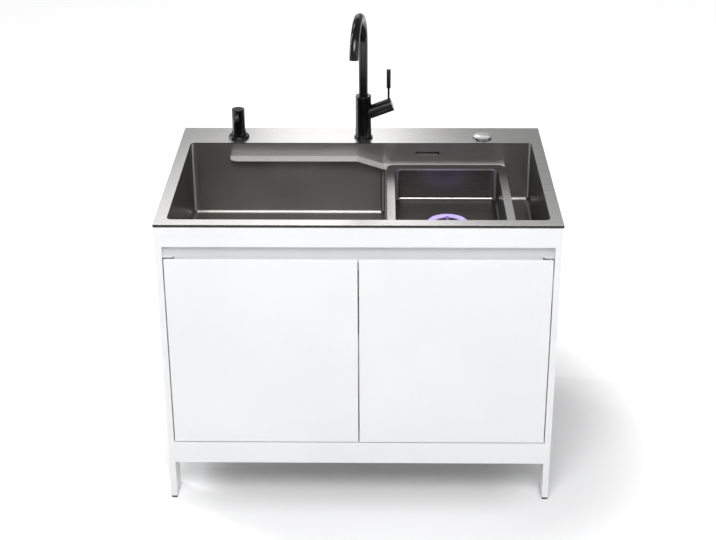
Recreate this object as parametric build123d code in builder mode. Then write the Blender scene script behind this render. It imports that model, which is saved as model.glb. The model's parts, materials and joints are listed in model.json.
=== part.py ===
from build123d import *
import math
import os

# Free-standing kitchen sink unit. Millimetres, +Z up, front towards -Y.
# Origin: on the floor, in the middle of the footprint.

# --- overall sizes -------------------------------------------------------
top_width = 1000.0
top_depth = 650.0
top_height = 800.0
deck_sheet = 1.5
deck_skirt = 7.0
panel_inset = 2.0

# --- cabinet -------------------------------------------------------------
board = 16.0
pad_height = 6.0
pad_inset = 1.0
pad_corner = 2.0
leg_depth = 72.0
leg_cut_height = 112.0
front_rail_drop = 60.5
low_rail_bottom = 112.0
low_rail_height = 61.5
floor_drop = 1.0
back_rail_height = 80.0
wall_hole_radius = 4.0
wall_hole_spread = 800.0
wall_hole_drop = 40.0

# --- doors ---------------------------------------------------------------
door_drop = 98.5
door_thick = 16.0
door_side_gap = 3.0
door_low_gap = 3.0
door_centre_gap = 3.5
grip_bevel_depth = 5.0
grip_bevel_height = 12.0
door_edge_round = 0.6
door_rear_ease = 1.5

# --- finger channel and bumpers -----------------------------------------
channel_gap = 3.0
channel_skin = 2.0
channel_low_reach = 34.0
channel_notch_play = 4.0
channel_notch_rise = 2.0
bumper_radius = 4.0
bumper_drop = 24.0
bumper_near_edge = 40.0
bumper_near_middle = 30.0

# --- door hinges ---------------------------------------------------------
hinge_from_edge = 12.0
hinge_from_front = 8.0
hinge_low_offset = 75.0
hinge_high_offset = 150.0
cup_radius = 17.5
cup_depth = 12.5
cup_wall = 1.0
cup_from_edge = 20.5
cup_rim_radius = 19.0
cup_rim_thick = 1.0
hinge_pin_radius = 2.0
hinge_pin_play = 0.05
knuckle_radius = 3.2
knuckle_half = 5.0
lug_gap = 0.4
lug_thick = 2.5
lug_margin = 2.2
arm_thick = 2.0
arm_half = 4.5
arm_angle = 26.0
arm_reach = 18.5
arm_leg_offset = 15.2
plate_half = 24.0
plate_depth = 36.0
plate_screw_radius = 3.5
plate_screw_head = 1.6
plate_screw_spread = 32.0

# --- bowl ----------------------------------------------------------------
bowl_side_strip = 30.0
bowl_front_strip = 31.0
bowl_rear_strip = 115.0
bowl_corner = 13.0
bowl_sheet = 1.5
left_bowl_drop = 212.0
right_bowl_drop = 170.0
divider_from_right = 404.0
divider_width = 22.0
low_ledge_drop = 62.0
high_ledge_drop = 39.0
ledge_reach = 36.0
ledge_sheet = 2.0
ledge_from_left = 109.0
ledge_slope_to_divider = 3.0
ledge_slope_length = 72.0
ledge_corner = 22.0

# --- overflow ------------------------------------------------------------
overflow_shift = 50.5
overflow_drop = 32.0
overflow_length = 67.0
overflow_height = 12.0
overflow_box_margin = 8.0
overflow_box_depth = 18.0
overflow_box_wall = 2.0
overflow_pipe_radius = 9.0
overflow_pipe_wall = 1.5
overflow_bend = 25.0
overflow_entry_drop = 34.0

# --- drains --------------------------------------------------------------
drain_from_rear = 194.0
left_flange_radius = 57.0
left_flange_thick = 1.5
left_body_radius = 43.0
left_body_depth = 52.0
drain_wall = 2.0
drain_hole_play = 0.5
drain_nut_thick = 10.0
drain_nut_width = 12.0
drain_tail_radius = 19.0
drain_tail_length = 26.0
basket_play = 0.6
basket_rim_thick = 2.0
basket_rim_width = 4.0
basket_depth = 34.0
basket_wall = 1.5
basket_slots = 8
basket_slot_width = 3.0
basket_slot_height = 18.0
basket_hole_radius = 1.8
basket_knob_radius = 7.0
basket_knob_stem = 3.5
basket_knob_height = 16.0
lifter_radius = 14.0
lifter_thick = 3.0
lifter_stem_radius = 4.0
lifter_stem_length = 16.0
lifter_play = 0.3
spider_thick = 3.0
spider_hole_radius = 6.0
right_body_depth = 50.0
right_pipe_radius = 38.0
weep_slots = 8
weep_width = 10.0
weep_height = 6.0

# --- light ring and cross grate -----------------------------------------
ring_outer = 54.6
ring_inner = 40.6
ring_thick = 3.0
ring_above_pan = 1.0
cross_bar = 8.0
cross_thick = 4.0
cross_hub_radius = 9.0
cross_drop = 0.5

# --- loose pan -----------------------------------------------------------
pan_over_divider = 6.0
pan_from_right = 72.0
pan_end_gap = 11.0
pan_sheet = 1.5
pan_corner = 22.0
pan_flange_side = 21.0
pan_flange_ends = 28.0
pan_floor_drop = 152.0
pan_inner_corner = 20.0
pan_foot_round = 8.0
pan_ring_play = 0.6

# --- waste pipes and trap ------------------------------------------------
pipe_radius = 20.0
pipe_wall = 2.0
pipe_bend = 32.0
pipe_play = 0.1
waste_line_drop = 350.0
nut_wall = 7.0
nut_length = 18.0
trap_from_left_drain = 220.0
tee_radius = 25.0
tee_half = 48.0
tee_stub_radius = 22.0
trap_neck_radius = 34.0
trap_neck_drop = 22.0
trap_neck_length = 63.0
dip_radius = 16.0
dip_length = 20.0
outlet_drop = 45.0
outlet_boss = 24.0
outlet_boss_reach = 52.0
spigot_length = 60.0
spigot_bead = 3.0
cup_outer = 39.0
trap_cup_wall = 3.0
trap_cup_drop = 45.0
trap_thread_play = 0.2

# --- mixer ---------------------------------------------------------------
fitting_from_rear = 72.0
mixer_x = 7.0
base_ring_radius = 26.0
base_ring_height = 4.0
mixer_radius = 21.75
mixer_height = 124.0
mixer_edge = 1.5
spout_radius = 12.25
spout_wall = 2.0
spout_seat = 40.0
spout_play = 0.05
spout_arch = 95.0
spout_arch_height = 275.0
spout_arc_angle = 172.0
spout_turn = 6.6
aerator_length = 9.0
aerator_rib = 1.2
aerator_play = 0.6
hub_radius = 18.5
hub_height = 68.0
hub_tilt = 21.0
hub_end = 57.7
hub_bore = 14.6
hub_bore_start = 33.0
cartridge_radius = 14.4
cartridge_end = 66.0
cap_gap = 0.5
cap_end = 85.2
cap_wall = 3.2
cap_edge = 1.5
carrier_play = 0.1
carrier_start = 68.5
lever_x = 76.5
lever_stem = 3.0
lever_slot_play = 0.35
lever_stem_top = 146.0
lever_grip = 5.85
lever_top = 199.0
lever_heel = 4.5
lever_lift = 15.0
lever_pin = 1.5
lever_pin_play = 0.05
lever_edge = 1.2
shank_radius = 16.5
shank_wall = 2.5
shank_length = 62.0
deck_hole_play = 0.5
deck_nut_wall = 11.0
deck_nut_thick = 12.0
inlet_radius = 5.0
inlet_spread = 8.7
inlet_top = 30.0
inlet_bottom = 150.0
inlet_thread_radius = 8.2
inlet_thread_length = 20.0

# --- soap pump -----------------------------------------------------------
soap_from_edge = 160.0
soap_flange_radius = 28.5
soap_flange_height = 8.0
soap_flange_round = 4.0
soap_collar_radius = 19.5
soap_collar_top = 19.0
soap_collar_play = 0.3
soap_head_radius = 17.75
soap_head_top = 84.0
soap_head_edge = 1.5
soap_press = 12.0
soap_nozzle_radius = 4.6
soap_nozzle_drop = 11.0
soap_nozzle_reach = 53.0
soap_nozzle_tip = 7.0
soap_shank_radius = 13.0
soap_bottle_radius = 28.5
soap_bottle_top = 60.0
soap_bottle_bottom = 210.0
soap_bottle_wall = 2.0
soap_bottle_round = 8.0
soap_neck_wall = 2.5
soap_rod_radius = 4.0
soap_rod_length = 55.0
soap_rod_play = 0.4

# --- control knob --------------------------------------------------------
knob_from_edge = 163.0
knob_base_radius = 26.5
knob_base_height = 3.0
knob_disc_radius = 23.5
knob_top = 8.0
knob_disc_edge = 1.0
knob_travel = 3.0
knob_sleeve_radius = 11.0
knob_sleeve_length = 34.0
knob_stem_radius = 6.0
knob_stem_play = 0.3
knob_well_play = 0.4
knob_rim_width = 2.0

# --- derived positions ---------------------------------------------------
half_width = top_width / 2
front_y = -top_depth / 2
rear_y = top_depth / 2
deck_under = top_height - deck_sheet
front_rail_bottom = top_height - front_rail_drop
door_top = top_height - door_drop
panel_out = half_width - panel_inset
panel_in = panel_out - board
panel_front = front_y + panel_inset
panel_rear = rear_y - panel_inset
low_rail_top = low_rail_bottom + low_rail_height
board_back = panel_front + board
door_bottom = low_rail_top + door_low_gap
door_height = door_top - door_bottom
door_back = panel_front + door_thick
door_width = panel_in - door_side_gap - door_centre_gap / 2
bowl_half = half_width - bowl_side_strip
bowl_width = 2 * bowl_half
bowl_front = front_y + bowl_front_strip
bowl_rear = rear_y - bowl_rear_strip
bowl_depth = bowl_rear - bowl_front
left_floor_z = top_height - left_bowl_drop
right_floor_z = top_height - right_bowl_drop
divider_left = bowl_half - divider_from_right
divider_right = divider_left + divider_width
pan_left = divider_left + pan_over_divider
pan_right = bowl_half - pan_from_right
pan_front = bowl_front + pan_end_gap
pan_rear = bowl_rear - pan_end_gap
ledge_left = ledge_from_left - bowl_half
ledge_slope_right = divider_left - ledge_slope_to_divider
ledge_slope_left = ledge_slope_right - ledge_slope_length
ledge_right = pan_right
drain_line_y = bowl_rear - drain_from_rear
left_drain_x = (divider_left - bowl_half) / 2
right_drain_x = (pan_left + pan_right) / 2
overflow_x = right_drain_x - overflow_shift
waste_line_z = top_height - waste_line_drop
trap_x = left_drain_x + trap_from_left_drain
trap_neck_top = waste_line_z - trap_neck_drop
trap_neck_bottom = trap_neck_top - trap_neck_length
dip_bottom = trap_neck_bottom - dip_length
outlet_z = waste_line_z - outlet_drop
trap_cup_bottom = trap_neck_bottom - trap_cup_drop
low_ledge_z = top_height - low_ledge_drop
high_ledge_z = top_height - high_ledge_drop
divider_top = low_ledge_z - ledge_sheet
pan_floor_z = top_height - pan_floor_drop
pan_under = pan_floor_z - pan_sheet
ring_top = pan_floor_z + ring_above_pan
fitting_y = rear_y - fitting_from_rear
soap_x = soap_from_edge - half_width
knob_x = half_width - knob_from_edge
knob_y = fitting_y
hinge_y = panel_front + hinge_from_front
hinge_x = panel_in - door_side_gap - hinge_from_edge
cup_x = panel_in - door_side_gap - cup_from_edge
hinge_heights = (door_bottom + hinge_low_offset, door_top - hinge_high_offset)
sleeve_hole = knob_sleeve_radius + deck_hole_play
shank_hole = shank_radius + deck_hole_play
soap_hole = soap_shank_radius + deck_hole_play

os.makedirs("parts", exist_ok=True)


def block(x0, x1, y0, y1, z0, z1):
    """A rectangular board between two opposite corners, added to the current part."""
    with BuildSketch(Plane.XY.offset(z0)) as outline:
        with Locations(((x0 + x1) / 2, (y0 + y1) / 2)):
            Rectangle(x1 - x0, y1 - y0)
    extrude(outline.sketch, amount=z1 - z0)


def block_cut(x0, x1, y0, y1, z0, z1):
    """A rectangular pocket between two opposite corners, cut from the current part."""
    with BuildSketch(Plane.XY.offset(z0)) as outline:
        with Locations(((x0 + x1) / 2, (y0 + y1) / 2)):
            Rectangle(x1 - x0, y1 - y0)
    extrude(outline.sketch, amount=z1 - z0, mode=Mode.SUBTRACT)


def rod(x, y, radius, z0, z1, mode=Mode.ADD):
    """A vertical round rod or hole of the current part."""
    with BuildSketch(Plane.XY.offset(z0)) as outline:
        with Locations((x, y)):
            Circle(radius)
    extrude(outline.sketch, amount=z1 - z0, mode=mode)


def ring(x, y, outer, inner, z0, z1):
    """A vertical round ring of the current part."""
    with BuildSketch(Plane.XY.offset(z0)) as outline:
        with Locations((x, y)):
            Circle(outer)
            Circle(inner, mode=Mode.SUBTRACT)
    extrude(outline.sketch, amount=z1 - z0)


# =========================================================================
# Cabinet
# =========================================================================


def side_board(side):
    """Side panel with the cut-out that leaves a front and a rear leg."""
    with BuildPart() as panel:
        with BuildSketch(Plane.YZ.offset(panel_in if side > 0 else -panel_out)):
            with BuildLine():
                Polyline(
                    (panel_front, pad_height),
                    (panel_front + leg_depth, pad_height),
                    (panel_front + leg_depth, leg_cut_height),
                    (panel_rear - leg_depth, leg_cut_height),
                    (panel_rear - leg_depth, pad_height),
                    (panel_rear, pad_height),
                    (panel_rear, deck_under),
                    (panel_front, deck_under),
                    close=True,
                )
            make_face()
        extrude(amount=board)
    return panel.part


with BuildPart() as left_side_panel:
    add(side_board(-1))
left_side_panel.part.label = "left_side_panel"
export_step(left_side_panel.part, "parts/left_side_panel.step")

with BuildPart() as right_side_panel:
    add(side_board(1))
right_side_panel.part.label = "right_side_panel"
export_step(right_side_panel.part, "parts/right_side_panel.step")

# One flat pad under each of the four legs.
with BuildPart() as leg_pads:
    pad_x = panel_out - board / 2
    pad_y = panel_rear - leg_depth / 2
    with BuildSketch(Plane.XY):
        with GridLocations(2 * pad_x, 2 * pad_y, 2, 2):
            RectangleRounded(board - pad_inset, leg_depth - pad_inset, pad_corner)
    extrude(amount=pad_height)
leg_pads.part.label = "leg_pads"
export_step(leg_pads.part, "parts/leg_pads.step")

with BuildPart() as top_front_rail:
    block(-panel_in, panel_in, panel_front, board_back, front_rail_bottom, deck_under)
top_front_rail.part.label = "top_front_rail"
export_step(top_front_rail.part, "parts/top_front_rail.step")

with BuildPart() as bottom_front_rail:
    block(-panel_in, panel_in, panel_front, board_back, low_rail_bottom, low_rail_top)
bottom_front_rail.part.label = "bottom_front_rail"
export_step(bottom_front_rail.part, "parts/bottom_front_rail.step")

with BuildPart() as bottom_panel:
    floor_top = low_rail_top - floor_drop
    block(-panel_in, panel_in, board_back, panel_rear, floor_top - board, floor_top)
bottom_panel.part.label = "bottom_panel"
export_step(bottom_panel.part, "parts/bottom_panel.step")

with BuildPart() as lower_back_rail:
    floor_top = low_rail_top - floor_drop
    rail_front = panel_rear - board
    block(-panel_in, panel_in, rail_front, panel_rear, floor_top, floor_top + back_rail_height)
lower_back_rail.part.label = "lower_back_rail"
export_step(lower_back_rail.part, "parts/lower_back_rail.step")

# Upper back rail with two holes for the wall screws.
with BuildPart() as upper_back_rail:
    rail_low = deck_under - back_rail_height
    block(-panel_in, panel_in, panel_rear - board, panel_rear, rail_low, deck_under)
    with BuildSketch(Plane.XZ.offset(-panel_rear)):
        with Locations((0, deck_under - wall_hole_drop)):
            with GridLocations(wall_hole_spread, 1, 2, 1):
                Circle(wall_hole_radius)
    extrude(amount=board, mode=Mode.SUBTRACT)
upper_back_rail.part.label = "upper_back_rail"
export_step(upper_back_rail.part, "parts/upper_back_rail.step")

# Rabbeted board behind the top rail: its thin lower part is the face of the finger recess.
with BuildPart() as finger_channel:
    channel_face = door_back + channel_gap
    channel_low = door_top - channel_low_reach
    with BuildSketch(Plane.YZ.offset(-panel_in)):
        with BuildLine():
            Polyline(
                (channel_face, channel_low),
                (channel_face + channel_skin, channel_low),
                (channel_face + channel_skin, deck_under),
                (board_back, deck_under),
                (board_back, front_rail_bottom),
                (channel_face, front_rail_bottom),
                close=True,
            )
        make_face()
    extrude(amount=2 * panel_in)
    notch_from = hinge_x - (door_thick - hinge_from_front) - channel_notch_play
    notch_mid = (notch_from + panel_in) / 2
    with BuildSketch(Plane.XY.offset(channel_low)):
        with Locations((-notch_mid, channel_face), (notch_mid, channel_face)):
            Rectangle(panel_in - notch_from, board)
    extrude(amount=channel_low_reach + channel_notch_rise, mode=Mode.SUBTRACT)
finger_channel.part.label = "finger_channel"
export_step(finger_channel.part, "parts/finger_channel.step")

# Soft round bumpers on the channel face, which the closed doors rest on.
with BuildPart() as door_bumpers:
    bumper_z = door_top - bumper_drop
    bumper_outer_x = panel_in - door_side_gap - bumper_near_edge
    with BuildSketch(Plane.XZ.offset(-(door_back + channel_gap))):
        with Locations(
            (-bumper_outer_x, bumper_z),
            (-bumper_near_middle, bumper_z),
            (bumper_near_middle, bumper_z),
            (bumper_outer_x, bumper_z),
        ):
            Circle(bumper_radius)
    extrude(amount=channel_gap)
door_bumpers.part.label = "door_bumpers"
export_step(door_bumpers.part, "parts/door_bumpers.step")

# =========================================================================
# Doors and hinges
# =========================================================================


def door_board(side):
    """Inset door, bevelled behind its top edge for the fingers, bored for two hinge cups."""
    inner_edge = door_centre_gap / 2
    outer_edge = panel_in - door_side_gap
    start_x = inner_edge if side > 0 else -outer_edge
    with BuildPart() as door:
        with BuildSketch(Plane.YZ.offset(start_x)):
            with BuildLine():
                Polyline(
                    (panel_front, door_bottom),
                    (door_back, door_bottom),
                    (door_back, door_top - grip_bevel_height),
                    (door_back - grip_bevel_depth, door_top),
                    (panel_front, door_top),
                    close=True,
                )
            make_face()
        extrude(amount=door_width)
        side_faces = door.faces().sort_by(Axis.X)
        hinge_face = side_faces[-1] if side > 0 else side_faces[0]
        chamfer(hinge_face.edges().sort_by(Axis.Y)[-2:], length=door_rear_ease)
        front_edges = door.faces().sort_by(Axis.Y)[0].edges()
        chamfer(front_edges, length=door_edge_round)
        with BuildSketch(Plane.XZ.offset(-door_back)):
            with Locations(*[(side * cup_x, z) for z in hinge_heights]):
                Circle(cup_radius)
        extrude(amount=cup_depth, mode=Mode.SUBTRACT)
    return door.part


with BuildPart() as left_door:
    add(door_board(-1))
left_door.part.label = "left_door"
export_step(left_door.part, "parts/left_door.step")

with BuildPart() as right_door:
    add(door_board(1))
right_door.part.label = "right_door"
export_step(right_door.part, "parts/right_door.step")


def hinge_cups(side):
    """Two pressed cups with a rim, a pair of lugs each and the vertical pin through them."""
    pocket = cup_radius - cup_wall
    pin_shift = side * hinge_x
    with BuildPart() as cups:
        with BuildSketch(Plane.XZ.offset(-door_back)):
            with Locations(*[(side * cup_x, z) for z in hinge_heights]):
                Circle(cup_radius)
        extrude(amount=cup_depth)
        with BuildSketch(Plane.XZ.offset(-door_back)):
            with Locations(*[(side * cup_x, z) for z in hinge_heights]):
                Circle(cup_rim_radius)
        extrude(amount=-cup_rim_thick)
        with BuildSketch(Plane.XZ.offset(-(door_back + cup_rim_thick))):
            with Locations(*[(side * cup_x, z) for z in hinge_heights]):
                Circle(pocket)
        extrude(amount=cup_depth + cup_rim_thick - cup_wall, mode=Mode.SUBTRACT)
        for height in hinge_heights:
            lug_start = knuckle_half + lug_gap
            for z0 in (height + lug_start, height - lug_start - lug_thick):
                block(
                    pin_shift - hinge_pin_radius - lug_margin,
                    pin_shift + hinge_pin_radius + lug_margin,
                    door_back - cup_depth,
                    hinge_y + hinge_pin_radius + lug_margin,
                    z0,
                    z0 + lug_thick,
                )
            pin_half = lug_start + lug_thick
            rod(pin_shift, hinge_y, hinge_pin_radius, height - pin_half, height + pin_half)
    return cups.part


with BuildPart() as left_hinge_cups:
    add(hinge_cups(-1))
left_hinge_cups.part.label = "left_hinge_cups"
export_step(left_hinge_cups.part, "parts/left_hinge_cups.step")

with BuildPart() as right_hinge_cups:
    add(hinge_cups(1))
right_hinge_cups.part.label = "right_hinge_cups"
export_step(right_hinge_cups.part, "parts/right_hinge_cups.step")


def hinge_arms(side):
    """Two cranked arms: a knuckle round the pin, a neck out of the cup and a wall plate."""
    slope = math.radians(arm_angle)
    pivot_x = side * hinge_x
    inward = -side
    neck_end_x = pivot_x + inward * arm_reach * math.cos(slope)
    neck_end_y = hinge_y + arm_reach * math.sin(slope)
    leg_y = hinge_y + arm_leg_offset
    wall_x = side * panel_in
    shift_x = arm_thick / 2 * math.sin(slope)
    shift_y = arm_thick / 2 * math.cos(slope)
    with BuildPart() as arms:
        for height in hinge_heights:
            with BuildSketch(Plane.XY.offset(height - arm_half)):
                with BuildLine():
                    Polyline(
                        (pivot_x - inward * shift_x, hinge_y + shift_y),
                        (neck_end_x - inward * arm_thick, neck_end_y),
                        (neck_end_x - inward * arm_thick, leg_y),
                        (wall_x, leg_y),
                        (wall_x, leg_y + arm_thick),
                        (neck_end_x, leg_y + arm_thick),
                        (neck_end_x, neck_end_y - arm_thick / 2),
                        (pivot_x + inward * shift_x, hinge_y - shift_y),
                        close=True,
                    )
                make_face()
            extrude(amount=2 * arm_half)
            rod(pivot_x, hinge_y, knuckle_radius, height - arm_half, height + arm_half)
            rod(
                pivot_x,
                hinge_y,
                hinge_pin_radius + hinge_pin_play,
                height - arm_half,
                height + arm_half,
                mode=Mode.SUBTRACT,
            )
            block(
                min(wall_x, wall_x + inward * arm_thick),
                max(wall_x, wall_x + inward * arm_thick),
                leg_y,
                leg_y + plate_depth,
                height - plate_half,
                height + plate_half,
            )
            head_start = wall_x + inward * arm_thick
            with BuildSketch(Plane.YZ.offset(head_start)):
                with Locations((leg_y + plate_depth / 2, height)):
                    with GridLocations(1, plate_screw_spread, 1, 2):
                        Circle(plate_screw_radius)
            extrude(amount=inward * plate_screw_head)
    return arms.part


with BuildPart() as left_hinge_arms:
    add(hinge_arms(-1))
left_hinge_arms.part.label = "left_hinge_arms"
export_step(left_hinge_arms.part, "parts/left_hinge_arms.step")

with BuildPart() as right_hinge_arms:
    add(hinge_arms(1))
right_hinge_arms.part.label = "right_hinge_arms"
export_step(right_hinge_arms.part, "parts/right_hinge_arms.step")

# =========================================================================
# Sink top and bowls
# =========================================================================

# Flat sheet with a folded skirt, the bowl opening and the holes of the fittings.
with BuildPart() as sink_deck:
    with BuildSketch(Plane.XY.offset(top_height - deck_skirt)):
        Rectangle(top_width, top_depth)
    extrude(amount=deck_skirt)
    chamfer(sink_deck.faces().sort_by(Axis.Z)[-1].edges(), length=deck_sheet / 3)
    with BuildSketch(Plane.XY.offset(top_height - deck_skirt)):
        Rectangle(top_width - 2 * deck_sheet, top_depth - 2 * deck_sheet)
    extrude(amount=deck_skirt - deck_sheet, mode=Mode.SUBTRACT)
    with BuildSketch(Plane.XY.offset(deck_under)):
        with Locations((0, (bowl_front + bowl_rear) / 2)):
            RectangleRounded(bowl_width, bowl_depth, bowl_corner)
        with Locations((mixer_x, fitting_y)):
            Circle(shank_hole)
        with Locations((soap_x, fitting_y)):
            Circle(soap_hole)
        with Locations((knob_x, knob_y)):
            Circle(sleeve_hole)
    extrude(amount=deck_sheet, mode=Mode.SUBTRACT)
sink_deck.part.label = "sink_deck"
export_step(sink_deck.part, "parts/sink_deck.step")


def bowl_side(side, floor_z):
    """End wall of the bowl with its two rounded vertical corners."""
    outer_corner = bowl_corner + bowl_sheet
    with BuildPart() as wall:
        with BuildSketch(Plane.XY.offset(floor_z)):
            with Locations((0, (bowl_front + bowl_rear) / 2)):
                RectangleRounded(
                    bowl_width + 2 * bowl_sheet, bowl_depth + 2 * bowl_sheet, outer_corner
                )
                RectangleRounded(bowl_width, bowl_depth, bowl_corner, mode=Mode.SUBTRACT)
            keep_x = side * (bowl_half - bowl_corner + top_width / 2)
            with Locations((keep_x, (bowl_front + bowl_rear) / 2)):
                Rectangle(top_width, top_depth, mode=Mode.INTERSECT)
        extrude(amount=deck_under - floor_z)
    return wall.part


with BuildPart() as bowl_left_wall:
    add(bowl_side(-1, left_floor_z))
bowl_left_wall.part.label = "bowl_left_wall"
export_step(bowl_left_wall.part, "parts/bowl_left_wall.step")

with BuildPart() as bowl_right_wall:
    add(bowl_side(1, right_floor_z))
bowl_right_wall.part.label = "bowl_right_wall"
export_step(bowl_right_wall.part, "parts/bowl_right_wall.step")


def long_wall(outer_y):
    """Long wall of the bowl, stepped to the two floor levels. outer_y is its larger Y."""
    wall_end = bowl_half - bowl_corner
    step_x = divider_left + bowl_sheet
    with BuildPart() as wall:
        with BuildSketch(Plane.XZ.offset(-outer_y)):
            with BuildLine():
                Polyline(
                    (-wall_end, left_floor_z),
                    (step_x, left_floor_z),
                    (step_x, right_floor_z),
                    (wall_end, right_floor_z),
                    (wall_end, deck_under),
                    (-wall_end, deck_under),
                    close=True,
                )
            make_face()
        extrude(amount=bowl_sheet)
    return wall.part


with BuildPart() as bowl_front_wall:
    add(long_wall(bowl_front))
bowl_front_wall.part.label = "bowl_front_wall"
export_step(bowl_front_wall.part, "parts/bowl_front_wall.step")

with BuildPart() as bowl_rear_wall:
    add(long_wall(bowl_rear + bowl_sheet))
    with BuildSketch(Plane.XZ.offset(-(bowl_rear + bowl_sheet))):
        with Locations((overflow_x, top_height - overflow_drop)):
            SlotOverall(overflow_length, overflow_height)
    extrude(amount=bowl_sheet, mode=Mode.SUBTRACT)
bowl_rear_wall.part.label = "bowl_rear_wall"
export_step(bowl_rear_wall.part, "parts/bowl_rear_wall.step")


def bowl_floor(x0, x1, floor_z, hole_x, hole_radius):
    """Floor sheet under one bowl, rounded at the two outer corners, with its drain hole."""
    side = 1 if abs(x1) > abs(x0) else -1
    outer_corner = bowl_corner + bowl_sheet
    with BuildPart() as floor:
        with BuildSketch(Plane.XY.offset(floor_z - bowl_sheet)):
            with Locations((0, (bowl_front + bowl_rear) / 2)):
                RectangleRounded(
                    bowl_width + 2 * bowl_sheet, bowl_depth + 2 * bowl_sheet, outer_corner
                )
            keep_edge = x0 if side > 0 else x1
            with Locations((keep_edge + side * top_width / 2, 0)):
                Rectangle(top_width, top_depth, mode=Mode.INTERSECT)
            with Locations((hole_x, drain_line_y)):
                Circle(hole_radius, mode=Mode.SUBTRACT)
        extrude(amount=bowl_sheet)
    return floor.part


left_hole = left_body_radius + drain_hole_play
right_hole = right_pipe_radius + drain_hole_play

with BuildPart() as left_bowl_floor:
    floor_end = divider_left + bowl_sheet
    add(bowl_floor(-bowl_half, floor_end, left_floor_z, left_drain_x, left_hole))
left_bowl_floor.part.label = "left_bowl_floor"
export_step(left_bowl_floor.part, "parts/left_bowl_floor.step")

with BuildPart() as right_bowl_floor:
    floor_start = divider_right - bowl_sheet
    add(bowl_floor(floor_start, bowl_half, right_floor_z, right_drain_x, right_hole))
right_bowl_floor.part.label = "right_bowl_floor"
export_step(right_bowl_floor.part, "parts/right_bowl_floor.step")

# Lowered wall between the two depths: an upside-down channel open to the dry side.
with BuildPart() as bowl_divider:
    with BuildSketch(Plane.XZ.offset(-bowl_rear)):
        with BuildLine():
            Polyline(
                (divider_left, left_floor_z),
                (divider_left + bowl_sheet, left_floor_z),
                (divider_left + bowl_sheet, divider_top - bowl_sheet),
                (divider_right - bowl_sheet, divider_top - bowl_sheet),
                (divider_right - bowl_sheet, right_floor_z),
                (divider_right, right_floor_z),
                (divider_right, divider_top),
                (divider_left, divider_top),
                close=True,
            )
        make_face()
    extrude(amount=bowl_depth)
bowl_divider.part.label = "bowl_divider"
export_step(bowl_divider.part, "parts/bowl_divider.step")


def ledge(wall_y, towards):
    """Sheet shelf along one long wall: high on the left, sloping down to the pan's level."""
    under_high = high_ledge_z - ledge_sheet
    under_low = low_ledge_z - ledge_sheet
    with BuildPart() as shelf:
        with BuildSketch(Plane.XZ.offset(-wall_y)):
            with BuildLine():
                Polyline(
                    (ledge_left, under_high),
                    (ledge_slope_left, under_high),
                    (ledge_slope_right, under_low),
                    (ledge_right, under_low),
                    (ledge_right, low_ledge_z),
                    (ledge_slope_right, low_ledge_z),
                    (ledge_slope_left, high_ledge_z),
                    (ledge_left, high_ledge_z),
                    close=True,
                )
            make_face()
        extrude(amount=-towards * ledge_reach)
        free_edges = shelf.edges().filter_by(Axis.Z).group_by(Axis.Y)
        free_side = free_edges[0] if towards < 0 else free_edges[-1]
        fillet(free_side, radius=ledge_corner)
    return shelf.part


with BuildPart() as rear_ledge:
    add(ledge(bowl_rear, -1))
rear_ledge.part.label = "rear_ledge"
export_step(rear_ledge.part, "parts/rear_ledge.step")

with BuildPart() as front_ledge:
    add(ledge(bowl_front, 1))
front_ledge.part.label = "front_ledge"
export_step(front_ledge.part, "parts/front_ledge.step")

# =========================================================================
# Loose pan
# =========================================================================

with BuildPart() as drain_pan:
    inner_left = pan_left + pan_flange_side
    inner_right = pan_right - pan_flange_side
    inner_front = pan_front + pan_flange_ends
    inner_rear = pan_rear - pan_flange_ends
    inner_w = inner_right - inner_left
    inner_d = inner_rear - inner_front
    mid_x = right_drain_x
    mid_y = (pan_front + pan_rear) / 2
    with BuildSketch(Plane.XY.offset(pan_under)):
        with Locations((mid_x, mid_y)):
            RectangleRounded(
                inner_w + 2 * pan_sheet, inner_d + 2 * pan_sheet, pan_inner_corner + pan_sheet
            )
    extrude(amount=low_ledge_z + pan_sheet - pan_under)
    foot_edges = drain_pan.faces().sort_by(Axis.Z)[0].edges()
    fillet(foot_edges, radius=pan_foot_round + pan_sheet)
    with BuildSketch(Plane.XY.offset(low_ledge_z)):
        with Locations((mid_x, mid_y)):
            RectangleRounded(pan_right - pan_left, pan_rear - pan_front, pan_corner)
    extrude(amount=pan_sheet)
    with BuildPart(mode=Mode.SUBTRACT):
        with BuildSketch(Plane.XY.offset(pan_floor_z)) as hollow_outline:
            with Locations((mid_x, mid_y)):
                RectangleRounded(inner_w, inner_d, pan_inner_corner)
        extrude(amount=low_ledge_z + pan_sheet - pan_floor_z)
        hollow_edges = faces().sort_by(Axis.Z)[0].edges()
        fillet(hollow_edges, radius=pan_foot_round)
    rod(
        right_drain_x,
        drain_line_y,
        ring_outer + pan_ring_play,
        pan_under,
        pan_floor_z,
        mode=Mode.SUBTRACT,
    )
drain_pan.part.label = "drain_pan"
export_step(drain_pan.part, "parts/drain_pan.step")

# =========================================================================
# Drains
# =========================================================================

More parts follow.
